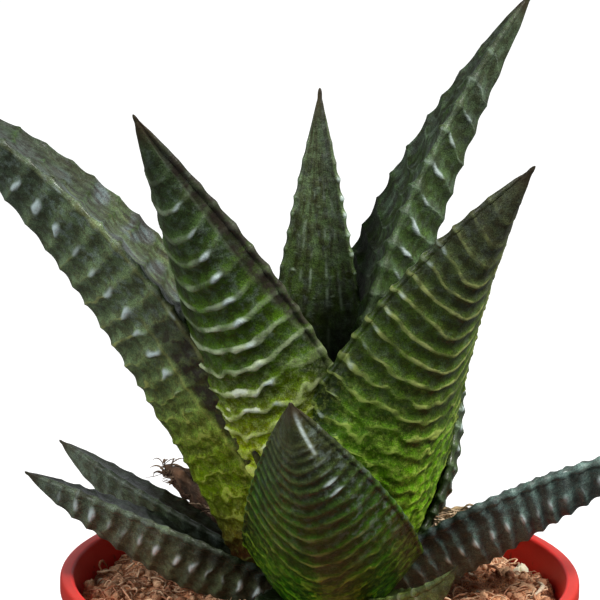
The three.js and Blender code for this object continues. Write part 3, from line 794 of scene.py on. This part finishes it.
        # Painted bluish sheen on the crests of round leaves.
        crest_sheen = 1.4 * max(0, roundness - 0.5) * above * ridges.fade * ~upper
        skin = towards(skin, CREST_SHEEN_BLUE, crest_sheen * step(-0.5, 0.5, self.grain("crest_sheen")))
        return skin, np.broadcast_to(crest[:, None], skin.shape)

    def values(self):
        """What the leaf's material reads, by attribute: all but the two colours are vectors."""
        s, x, upper, ridges = self.s, self.x, self.upper, self.ridges
        paleness, _, ragged, pale_to = self.leaf.look
        dark, lines, knob = self.marks()
        pale = paleness * (1 - 0.8 * step(pale_to - 0.15, pale_to + 0.1, s)) * ridges.dots
        # The crests are dimmer where the painted shade lies.
        pale = pale * (0.25 + 0.75 * ridges.broken) * ridges.inside * (1 - 0.6 * dark)
        wide = ridges.reach / (0.3 + 1.3 * paleness ** 2 + 1.4 * paleness ** 6)
        # Pale bluish patches: some mottling all over the back, and painted sheen on the +x flank.
        mottle_and_sheen = 0.25 + 0.65 * self.leaf.face[2] * step(0.3, 0.65, x) * ~upper
        skin, crest = self.colours()
        return {
            "wave": stacked(ridges.crest, wide, ridges.bead * 0.5 + 0.5),
            "place": stacked(s, x, pale),
            "marks": stacked(dark, lines, knob),
            "spots": stacked(mottle_and_sheen, ragged * ridges.low * ~upper, upper),
            "skin": skin,
            "ridge_colour": crest,
        }


def build_leaf(name, leaf, seed, material, slot, settings, dry=False):
    """A leaf's piece. The two middle points that close its skin take the values of the grid's two ends."""
    skin = Skin(leaf, seed, settings, dry)
    thing = piece(name + "_skin", *capped_grid(skin.points()), material, slot, name)
    for key, grid in skin.values().items():
        values = np.concatenate([grid.reshape(-1, 3), grid[0, :1], grid[-1, :1]])
        if key in ("skin", "ridge_colour"):
            point_values(thing, key, "FLOAT_COLOR", np.concatenate([values, np.ones((len(values), 1))], 1))
        else:
            point_values(thing, key, "FLOAT_VECTOR", values)


# ---- settings ----
class RosetteSettings(bpy.types.PropertyGroup):
    row_gap: FloatProperty(
        name="Row gap", description="From one row of faces to the next", unit="LENGTH", default=0.00036)
    back_columns: IntProperty(
        name="Back columns", description="Columns of faces over a leaf's back", default=80, min=12)
    face_columns: IntProperty(
        name="Face columns", description="Columns of faces over a leaf's upper face", default=36, min=8)


class PotSettings(bpy.types.PropertyGroup):
    rim_radius: FloatProperty(
        name="Rim radius", description="Outer radius of the lip", unit="LENGTH", default=RIM_RADIUS * MM)
    height: FloatProperty(
        name="Height", description="From the foot to the rim", unit="LENGTH", default=RIM_Z * MM)
    foot_radius: FloatProperty(
        name="Foot radius", description="Outer radius of the foot", unit="LENGTH", default=0.029)
    red: FloatVectorProperty(
        name="Plastic", description="Colour of the plastic", subtype="COLOR", default=(0.62, 0.034, 0.022))


class SoilSettings(bpy.types.PropertyGroup):
    crumbs: IntProperty(name="Crumbs", description="Loose crumbs on the soil", default=1500, min=0)
    grains: IntProperty(name="Grains", description="Pale mineral grains", default=46, min=0)
    fibres: IntProperty(name="Fibres", description="Coir fibres on the soil", default=1500, min=0)
    seed: IntProperty(name="Seed", description="Changes the random places", default=3)
    dark: FloatVectorProperty(
        name="Hollows", description="Colour of the moist hollows", subtype="COLOR",
        default=(0.42, 0.135, 0.050))
    light: FloatVectorProperty(
        name="Lumps", description="Colour of the drier lumps", subtype="COLOR", default=(0.98, 0.46, 0.22))


class StageSettings(bpy.types.PropertyGroup):
    elevation: FloatProperty(
        name="Elevation", description="How far the camera looks down", subtype="ANGLE",
        default=math.radians(18.5))
    distance: FloatProperty(
        name="Distance", description="From the camera to the rim's centre", unit="LENGTH", default=0.9)
    key: FloatProperty(
        name="Key light", description="Power of the light at the upper right, in watts", default=13.5)
    fill: FloatProperty(
        name="Fill light", description="Power of the light at the left, in watts", default=6.0)
    back: FloatProperty(
        name="Back light", description="Power of the wide light behind, in watts", default=1.8)
    sky: FloatProperty(
        name="Surround", description="Brightness of the even light from all round", default=0.13)
    glow: FloatProperty(name="Floor glow", description="Brightness of the floor's own light", default=0.72)
    floor: FloatVectorProperty(
        name="Floor", description="Colour of the floor", subtype="COLOR", default=(0.5, 0.5, 0.5))


class PlantSettings(bpy.types.PropertyGroup):
    rosette: PointerProperty(type=RosetteSettings, name="Rosette", description="The leaves")
    pot: PointerProperty(type=PotSettings, name="Pot", description="The pot")
    soil: PointerProperty(type=SoilSettings, name="Soil", description="The soil")
    stage: PointerProperty(type=StageSettings, name="Stage", description="Floor, lights and camera")


# ---- pot ----
POT_SIDES = 240
DRAIN_HOLES = 6
DRAIN_PLACE = 19.0  # from the pot's axis
DRAIN_RADIUS = 3.0


def rounded(corners, steps=7):
    """A closed outline with each corner (r, z, size) cut by a smooth curve: the points of a quadratic arc
    that starts and ends that size away from the corner."""
    corners = np.array(corners, float)
    here, size = corners[:, :2], corners[:, 2:]
    before = np.roll(here, 1, 0) - here
    after = np.roll(here, -1, 0) - here
    a = here + before / np.linalg.norm(before, axis=1, keepdims=True) * size
    b = here + after / np.linalg.norm(after, axis=1, keepdims=True) * size
    t = np.linspace(0, 1, steps)[None, :, None]
    arcs = a[:, None] * (1 - t) ** 2 + here[:, None] * 2 * t * (1 - t) + b[:, None] * t ** 2
    points = arcs.reshape(-1, 2)
    return points[np.linalg.norm(points - np.roll(points, 1, 0), axis=1) > 1e-6]


def turned(outline, sides):
    """An outline of (r, z) turned about the pot's axis: a grid with a row for each of its points."""
    turn = around(sides)
    r, z = outline[:, :1], outline[:, 1:]
    return stacked(r * np.cos(turn), r * np.sin(turn), z)


class HAWORTHIA_OT_pot(bpy.types.Operator):
    """Builds the turned pot with its lip, collar and drain holes"""

    bl_idname = "haworthia.pot"
    bl_label = "Pot"

    def execute(self, context):
        pot = context.scene.haworthia.pot
        rim, top, foot = pot.rim_radius / MM, pot.height / MM, pot.foot_radius / MM
        wall, floor, lip, lip_height, collar, step_out = 1.4, 1.8, 2.2, 3.0, 11.0, 1.0
        wall_top = rim - lip + wall - 1.0

        def wall_radius(z):
            return foot + (wall_top - foot) * z / top

        under_lip, under_collar = top - lip_height, top - collar
        outline = rounded([
            (foot - 1.2, 0, 0.8), (wall_radius(1.2), 1.2, 0.5),
            (wall_radius(under_collar - 1), under_collar - 1, 0.4),
            (wall_radius(under_collar) + step_out, under_collar, 0.5), (wall_top + step_out, under_lip, 0.15),
            (rim, under_lip, 0.5), (rim, top, 0.95), (rim - lip, top, 0.7),
            (wall_radius(floor) - wall, floor, 0.8), (0, floor, 0), (0, 0, 0),
        ])
        points, faces = capped_grid(turned(outline[outline[:, 0] > 0], POT_SIDES))
        thing = piece("pot_shell", points, faces, pot_material(pot.red), "pot", "pot")
        middle_radius = np.interp(points[:, 2], [0, top], [foot - 0.6, rim - lip + 0.5])
        inner = (np.hypot(points[:, 0], points[:, 1]) < middle_radius) & (points[:, 2] > 1.5)
        point_values(thing, "inside", "FLOAT", inner)
        turn = around(DRAIN_HOLES)
        centres = DRAIN_PLACE * stacked(np.cos(turn), np.sin(turn))
        cut_holes(thing, centres, DRAIN_RADIUS, -1.0, floor + 1.2)
        return {"FINISHED"}


def cut_holes(thing, centres, radius, low, high, sides=48, sharp=math.radians(50)):
    """Cuts round upright holes through a mesh and keeps the result as its own mesh, with sharp edges where
    its faces meet at more than that angle."""
    turn = -around(sides)
    cutters = []
    for x, y in centres:
        ring = stacked(x + radius * np.cos(turn), y + radius * np.sin(turn), 0)
        points, faces = capped_grid(np.stack([ring + (0, 0, high), ring + (0, 0, low)]))
        mesh = bpy.data.meshes.new("hole")
        mesh.from_pydata(points * MM, [], [list(map(int, f)) for group in faces for f in group])
        cutter = bpy.data.objects.new("hole", mesh)
        bpy.context.scene.collection.objects.link(cutter)
        cutters.append(cutter)
        cut = thing.modifiers.new("hole", "BOOLEAN")
        cut.operation = "DIFFERENCE"
        cut.solver = "EXACT"
        cut.object = cutter
    bpy.context.view_layer.update()
    whole = thing.evaluated_get(bpy.context.evaluated_depsgraph_get())
    thing.data = bpy.data.meshes.new_from_object(whole)
    thing.modifiers.clear()
    thing.data.set_sharp_from_angle(angle=sharp)
    for cutter in cutters:
        bpy.data.objects.remove(cutter)


# ---- soil ----
SOIL_RADIUS = 38.85
# How far from the axis the loose bits lie, and how far out the fibres start and end.
BITS_REACH, FIBRE_STARTS, FIBRE_ENDS = 38.0, 36.5, 38.2
SOIL_SIDES = 400
SOIL_RINGS, SOIL_MIDDLE = 165, 0.6  # the rings of the top, and the radius of the smallest
WALL_DIP, WALL_DIP_REACH = 0.6, (34, 39.5)  # how much lower the soil is at the wall, between which radii
SOIL_LUMPS = ((1.0, 9.0), (0.7, 3.4), (0.45, 1.5), (0.2, 0.7))  # how high and how wide
# The skin below the top: radius and height.
SOIL_WALL = ((28.0, 2.2), (31.5, 24.0), (35.4, 48.0), (SOIL_RADIUS, SOIL_Z - 2.6))


def soil_height(xy, seed):
    """Height of the soil's top above its level at points (..., 2): lumps, crumbs and grit of falling size,
    and a little lower along the pot's wall."""
    p = stacked(xy[..., 0], xy[..., 1], 0)
    high = sum(height * noise(p, size, seed + n) for n, (height, size) in enumerate(SOIL_LUMPS))
    return high - WALL_DIP * step(*WALL_DIP_REACH, np.hypot(xy[..., 0], xy[..., 1]))


def blobs(centres, sizes, seed, rows=6, columns=8):
    """Many small irregular lumps: each is a coarse sphere, stretched, turned and dented at random."""
    rng = np.random.default_rng(seed)
    lat = np.linspace(0, np.pi, rows)[1:-1, None]
    lon = around(columns)
    unit = stacked(np.sin(lat) * np.cos(lon), np.sin(lat) * np.sin(lon), np.cos(lat))
    unit = np.concatenate([unit.reshape(-1, 3), [[0, 0, 1], [0, 0, -1]]])
    count = len(centres)
    dents = 1 + 0.28 * rng.uniform(-1, 1, (count, len(unit), 1))
    stretch = rng.uniform(0.6, 1.3, (count, 1, 3))
    turns, _ = np.linalg.qr(rng.normal(size=(count, 3, 3)))
    turns = turns * np.sign(np.linalg.det(turns))[:, None, None]
    lumps = np.einsum("nij,nkj->nki", turns, unit * dents * stretch) * sizes[:, None, None]
    return copies(lumps + centres[:, None], [f[:, ::-1] for f in skin_faces(rows - 2, columns)])


def strands(paths, radii, sides=5):
    """Thin tapering tubes: a ring carried along each path (count, steps, 3), across its direction,
    narrowing to its ends as a half sine."""
    count, steps, _ = paths.shape
    ahead = np.gradient(paths, axis=1)
    ahead = ahead / np.linalg.norm(ahead, axis=2, keepdims=True)
    across = np.cross(ahead, (0.31, 0.17, 0.94))
    across = across / np.linalg.norm(across, axis=2, keepdims=True)
    third = np.cross(ahead, across)
    turn = around(sides)[:, None]
    taper = (0.25 + 0.75 * np.sin(np.linspace(0.05, np.pi - 0.05, steps)))[None, :, None, None]
    ring = across[:, :, None] * np.cos(turn) + third[:, :, None] * np.sin(turn)
    points = paths[:, :, None] + ring * taper * radii[:, None, None, None]
    k = np.arange(1, sides - 1)
    caps = np.concatenate([stacked(0, k + 1, k), stacked(0, k, k + 1) + (steps - 1) * sides])
    return copies(points.reshape(count, -1, 3), [skin_faces(steps, sides)[0], caps])


def curls(rng, starts, count, length, turns, rise, radii, steps=10):
    """Fibres that start at the given points and curl: their heading turns evenly while they rise and fall
    as a half sine."""
    start = starts[rng.integers(0, len(starts), count)]
    t = np.linspace(0, 1, steps)
    angle = rng.uniform(0, 2 * np.pi, count)[:, None] + rng.normal(0, turns, count)[:, None] * t
    reach = rng.uniform(*length, count)[:, None]
    xy = np.cumsum(stacked(np.cos(angle), np.sin(angle)) * (reach / steps)[..., None], 1)
    z = rng.uniform(*rise, count)[:, None] * np.sin(np.pi * 0.75 * t)
    return strands(start[:, None] + np.concatenate([xy, z[..., None]], -1), rng.uniform(*radii, count))


def bits(name, mesh, slot, finish, size_mm, low, high, seed):
    """A piece of many like bits, whose material gives each one its own random tint between two colours."""
    points, faces, per = mesh
    thing = piece(name, points, faces, bits_material(finish, low, high, size_mm), slot)
    random_tints = np.random.default_rng(seed).uniform(0, 1, len(points) // per)
    point_values(thing, "tint", "FLOAT", np.repeat(random_tints, per))


class HAWORTHIA_OT_soil(bpy.types.Operator):
    """Builds the filled body of soil with its rough top"""

    bl_idname = "haworthia.soil"
    bl_label = "Soil"

    def execute(self, context):
        soil = context.scene.haworthia.soil
        turn = around(SOIL_SIDES)
        circle = stacked(np.cos(turn), np.sin(turn))
        xy = np.linspace(SOIL_RADIUS, SOIL_MIDDLE, SOIL_RINGS)[:, None, None] * circle
        high = soil_height(xy, soil.seed)
        wall = [stacked(*(r * xy[0] / SOIL_RADIUS).T, z) for r, z in SOIL_WALL]
        top = stacked(xy[..., 0], xy[..., 1], SOIL_Z + high)
        points, faces = capped_grid(np.concatenate([wall, top]))
        thing = piece("soil_body", points, faces, soil_material(soil.dark, soil.light), "soil", "soil")
        # The skin below the top counts as lowest, so it takes the full painted shade.
        relief = np.concatenate([np.full(len(SOIL_WALL) * SOIL_SIDES, -1.0), high.ravel(), [-1.0, 0.0]])
        point_values(thing, "relief", "FLOAT", relief)
        return {"FINISHED"}


class HAWORTHIA_OT_soil_bits(bpy.types.Operator):
    """Scatters crumbs, pale grains and coir fibres over the soil"""

    bl_idname = "haworthia.soil_bits"
    bl_label = "Soil bits"

    def execute(self, context):
        soil = context.scene.haworthia.soil
        rng = np.random.default_rng(soil.seed)

        def scatter(count, rise=0.0, reach=BITS_REACH):
            r = reach * np.sqrt(rng.uniform(0.01, 1, count))
            turn = rng.uniform(0, 2 * np.pi, count)
            xy = stacked(r * np.cos(turn), r * np.sin(turn))
            return stacked(xy[:, 0], xy[:, 1], SOIL_Z + soil_height(xy, soil.seed) + rise)

        sizes = rng.uniform(0.3, 1.0, soil.crumbs) ** 1.5
        crumbs = blobs(scatter(soil.crumbs, sizes * 0.25), sizes, soil.seed + 20)
        bits("soil_crumbs", crumbs, "soil", "soil_crumb", 0.6, (0.38, 0.135, 0.060), (1.0, 0.62, 0.36),
             soil.seed + 21)

        sizes = rng.uniform(0.4, 0.9, soil.grains)
        grains = blobs(scatter(soil.grains, sizes * 0.4), sizes, soil.seed + 30, 8, 10)
        bits("soil_grains", grains, "soil", "pale_grain", 1.2, (0.42, 0.33, 0.22), (0.62, 0.56, 0.42),
             soil.seed + 31)

        self.fibres(rng, scatter(soil.fibres, reach=FIBRE_STARTS), soil.seed)
        self.pale_things(soil.seed)
        return {"FINISHED"}

    def fibres(self, rng, start, seed):
        """Coir fibres: each one's heading turns evenly while it follows the soil and rises as a half sine."""
        count, steps = len(start), 8
        heading = rng.uniform(0, 2 * np.pi, count)[:, None]
        length = rng.uniform(2.0, 8.0, count)[:, None]
        curl = rng.normal(0, 2.4, count)[:, None]
        lift = np.abs(rng.normal(0.4, 0.7, count))[:, None]
        t = np.linspace(0, 1, steps)
        angle = heading + curl * t
        move = stacked(np.cos(angle), np.sin(angle)) * (length / steps)[..., None]
        xy = start[:, None, :2] + np.cumsum(move, 1)
        xy = xy * np.minimum(1, FIBRE_ENDS / np.hypot(xy[..., 0], xy[..., 1])[..., None])
        z = SOIL_Z + soil_height(xy, seed) * 0.6 + 0.35 + lift * np.sin(np.pi * t)
        paths = stacked(xy[..., 0], xy[..., 1], z)
        fibres = strands(paths, 0.06 + 0.2 * rng.uniform(0, 1, count) ** 2, 4)
        bits("soil_fibres", fibres, "soil", "coir_fibre", 0.9, (0.46, 0.17, 0.075), (1.0, 0.72, 0.46),
             seed + 41)

    def pale_things(self, seed):
        """The few pale lumps and the long pale straw that lie near the wall, the straw on a cubic curve."""
        spots = np.array([
            (33.9, 11.5, 0.5), (32.6, 10.6, 0.3), (-36.2, 9.0, 0.4), (-35.0, 6.2, 0.2), (20.5, 19.0, 0.4),
        ])
        spots[:, 2] += SOIL_Z + soil_height(spots[:, :2], seed)
        lumps = blobs(spots, np.array([1.5, 0.9, 0.8, 0.6, 0.8]), seed + 50, 8, 10)
        bits("soil_pale_lumps", lumps, "soil", "pale_lump", 2.5, (0.78, 0.70, 0.50), (0.92, 0.86, 0.66),
             seed + 51)
        t = np.linspace(0, 1, 14)[:, None]
        a, b, c, d = np.array([(34.6, -1.5), (36.8, 0.2), (37.4, 3.4), (35.8, 5.6)])
        xy = a * (1 - t) ** 3 + b * 3 * t * (1 - t) ** 2 + c * 3 * t ** 2 * (1 - t) + d * t ** 3
        z = SOIL_Z + 0.9 + 0.7 * np.sin(np.pi * t) + soil_height(xy, seed)[:, None] * 0.5
        straw = strands(np.concatenate([xy, z], -1)[None], np.array([0.42]), 6)
        bits("soil_straw", straw, "soil", "pale_straw", 0.8, (0.62, 0.48, 0.32), (0.78, 0.64, 0.46),
             seed + 52)


# ---- rosette ----
class HAWORTHIA_OT_leaves(bpy.types.Operator):
    """Builds every green leaf with its cross ridges"""

    bl_idname = "haworthia.leaves"
    bl_label = "Leaves"

    def execute(self, context):
        material = leaf_material()
        settings = context.scene.haworthia.rosette
        for number, (name, leaf) in enumerate(LEAVES.items()):
            build_leaf(name, leaf, 100 + 20 * number, material, "leaf", settings)
        return {"FINISHED"}


# The torn shreds of each dry leaf: from where to where along it, how many, and between which colours.
SHREDS = {
    "dry_leaf_left": (0.55, 1.0, 150, (0.16, 0.085, 0.05), (0.50, 0.34, 0.22)),
    "dry_leaf_right": (0.4, 1.0, 260, (0.34, 0.22, 0.12), (0.86, 0.66, 0.44)),
}
SHRED_STARTS = 24
TUFT_START, TUFT_REACH = (18.7, 0.5, 82.4), (3.8, 0.6, 3.0)


class HAWORTHIA_OT_dry_leaves(bpy.types.Operator):
    """Builds the two dry leaves under the rosette"""

    bl_idname = "haworthia.dry_leaves"
    bl_label = "Dry leaves"

    def execute(self, context):
        material = dry_material()
        settings = context.scene.haworthia.rosette
        for number, (name, leaf) in enumerate(DRY_LEAVES.items()):
            build_leaf(name, leaf, 700 + 20 * number, material, "dry_leaf", settings, True)
        rng = np.random.default_rng(811)
        for name, (low, high, count, dark, pale) in SHREDS.items():
            leaf = DRY_LEAVES[name]
            s = np.linspace(low, high, SHRED_STARTS)
            centre, side, _ = leaf_spine(leaf, s)
            out = rng.uniform(-1, 1, SHRED_STARTS) * leaf.size[1] * 0.45 * leaf_widths(leaf, s)
            starts = centre + side * out[:, None]
            if name == "dry_leaf_right":
                # A torn tuft lies before the leaf, in the channel of the low leaf beside it.
                t = np.linspace(0, 1, SHRED_STARTS)[:, None]
                tuft = np.repeat(np.array(TUFT_START) + np.array(TUFT_REACH) * t, 3, 0)
                starts = np.concatenate([starts, tuft + rng.normal(0, 0.5, tuft.shape) * (1, 0.6, 1)])
            shreds = curls(rng, starts, count, (1.2, 4.2), 3.2, (-0.5, 1.6), (0.06, 0.20))
            bits(name + "_shreds", shreds, "dry_leaf", name + "_shred", 0.8, dark, pale, 812)
        return {"FINISHED"}


class HAWORTHIA_OT_stem(bpy.types.Operator):
    """Builds the short stem that the leaves grow from"""

    bl_idname = "haworthia.stem"
    bl_label = "Stem"

    def execute(self, context):
        low, high, radius = SOIL_Z - 16, SOIL_Z + 9, 4.6
        profile = np.array([
            (0.4, low), (radius * 0.6, low), (radius, low + 6.4), (radius, high - 4.1),
            (radius * 0.82, high - 1.8), (radius * 0.42, high - 0.4), (0.2, high),
        ])
        t = np.linspace(0, len(profile) - 1, 60)
        outline = stacked(*(np.interp(t, np.arange(len(profile)), column) for column in profile.T))
        points = turned(outline, 64)
        points[..., :2] *= 1 + 0.03 * noise(points, 1.8, 5)[..., None]
        piece("stem_skin", *capped_grid(points), stem_material(), "stem", "stem")
        return {"FINISHED"}


# ---- stage ----
IMAGE_WIDTH = 600
SENSOR_WIDTH = 36
FOCAL_PIXELS = 5490.0
RIM_PIXEL = (321.0, 573.0)
CAMERA_TILT = math.radians(0.7)
FLOOR_REACH = 6.0
LIT_PLACE = (0, 0, 0.11)  # the lamps face the middle of the plant
LAMPS = (  # name, place, width, tint
    ("key", (0.55, -0.25, 0.85), 0.3, (1.0, 0.98, 0.95)),
    ("fill", (-0.7, -0.5, 0.5), 0.6, (0.95, 0.98, 1.0)),
    ("back", (0.05, 0.9, 0.4), 1.0, (0.88, 0.94, 1.0)),
)


def camera_matrix(elevation, distance):
    """The camera's place and turn: it looks at the rim's centre from that far and high, so that the centre
    falls on its own spot of the picture, and it is tilted a little about its own axis."""
    x, y = (RIM_PIXEL[0] - IMAGE_WIDTH / 2) / FOCAL_PIXELS, (IMAGE_WIDTH / 2 - RIM_PIXEL[1]) / FOCAL_PIXELS
    cos, sin = math.cos(CAMERA_TILT), math.sin(CAMERA_TILT)
    yaw = -math.atan(x * cos - y * sin)
    pitch = elevation + math.atan(x * sin + y * cos)
    ahead = Vector((math.sin(yaw) * math.cos(pitch), math.cos(yaw) * math.cos(pitch), -math.sin(pitch)))
    right = ahead.cross(Vector((0, 0, 1))).normalized()
    up = right.cross(ahead)
    matrix = Matrix((right * cos + up * sin, up * cos - right * sin, -ahead)).transposed().to_4x4()
    back = Vector((0, -math.cos(elevation), math.sin(elevation))) * distance
    matrix.translation = back + Vector((0, 0, RIM_Z * MM))
    return matrix


def area_light(name, place, width, watts, tint):
    """A square lamp at a place, which the camera doesn't see."""
    lamp = bpy.data.lights.new(name, "AREA")
    lamp.size = width
    lamp.energy = watts
    lamp.color = tint
    thing = bpy.data.objects.new(name, lamp)
    thing.location = place
    thing.rotation_euler = (Vector(LIT_PLACE) - Vector(place)).to_track_quat("-Z", "Y").to_euler()
    thing.visible_camera = False
    bpy.context.scene.collection.objects.link(thing)


class HAWORTHIA_OT_stage(bpy.types.Operator):
    """Sets up the pale floor, the soft lights and the camera"""

    bl_idname = "haworthia.stage"
    bl_label = "Stage"

    def execute(self, context):
        stage = context.scene.haworthia.stage
        scene = context.scene
        lens = bpy.data.cameras.new("camera")
        view = bpy.data.objects.new("camera", lens)
        scene.collection.objects.link(view)
        view.matrix_world = camera_matrix(stage.elevation, stage.distance)
        lens.sensor_width = SENSOR_WIDTH
        lens.lens = SENSOR_WIDTH * FOCAL_PIXELS / IMAGE_WIDTH
        lens.clip_end = 20
        scene.camera = view

        mesh = bpy.data.meshes.new("floor")
        corners = [(x * FLOOR_REACH, y * FLOOR_REACH, 0) for x, y in ((-1, -1), (1, -1), (1, 1), (-1, 1))]
        mesh.from_pydata(corners, [], [(0, 1, 2, 3)])
        floor = bpy.data.objects.new("floor", mesh)
        scene.collection.objects.link(floor)
        s = Surface("floor_paper")
        pale = np.array(stage.floor)
        mesh.materials.append(s.finish(Base_Color=s.mix(s.noise(3.0), pale, pale * 0.985), Roughness=0.9,
                                       Emission_Color=rgba((1, 1, 1)), Emission_Strength=stage.glow))
        # A white floor on all sides would wash the dark leaves out, so they neither mirror it nor are lit
        # by it.
        floor.visible_glossy = False
        floor.visible_diffuse = False

        world = bpy.data.worlds.new("surround")
        scene.world = world
        world.use_nodes = True
        back = world.node_tree.nodes["Background"]
        back.inputs["Color"].default_value = (1, 1, 1, 1)
        back.inputs["Strength"].default_value = stage.sky
        for name, place, width, tint in LAMPS:
            area_light(name, place, width, getattr(stage, name), tint)
        scene.view_settings.view_transform = "Standard"
        return {"FINISHED"}


class HAWORTHIA_PT_panel(bpy.types.Panel):
    """Lists the operators that build the plant"""

    bl_idname = "HAWORTHIA_PT_panel"
    bl_label = "Potted haworthia"
    bl_space_type = "VIEW_3D"
    bl_region_type = "UI"
    bl_category = "Haworthia"

    def draw(self, context):
        for operator in OPERATORS:
            self.layout.operator(operator.bl_idname)


OPERATORS = (
    HAWORTHIA_OT_stage,
    HAWORTHIA_OT_pot,
    HAWORTHIA_OT_soil,
    HAWORTHIA_OT_soil_bits,
    HAWORTHIA_OT_stem,
    HAWORTHIA_OT_leaves,
    HAWORTHIA_OT_dry_leaves,
)
GROUPS = (RosetteSettings, PotSettings, SoilSettings, StageSettings, PlantSettings)


def register():
    for entry in (*GROUPS, *OPERATORS, HAWORTHIA_PT_panel):
        bpy.utils.register_class(entry)
    bpy.types.Scene.haworthia = PointerProperty(type=PlantSettings)


def unregister():
    del bpy.types.Scene.haworthia
    for entry in (HAWORTHIA_PT_panel, *reversed(OPERATORS), *reversed(GROUPS)):
        bpy.utils.unregister_class(entry)


def main():
    register()
    for operator in OPERATORS:
        group, name = operator.bl_idname.split(".")
        getattr(getattr(bpy.ops, group), name)()


if __name__ == "__main__":
    main()
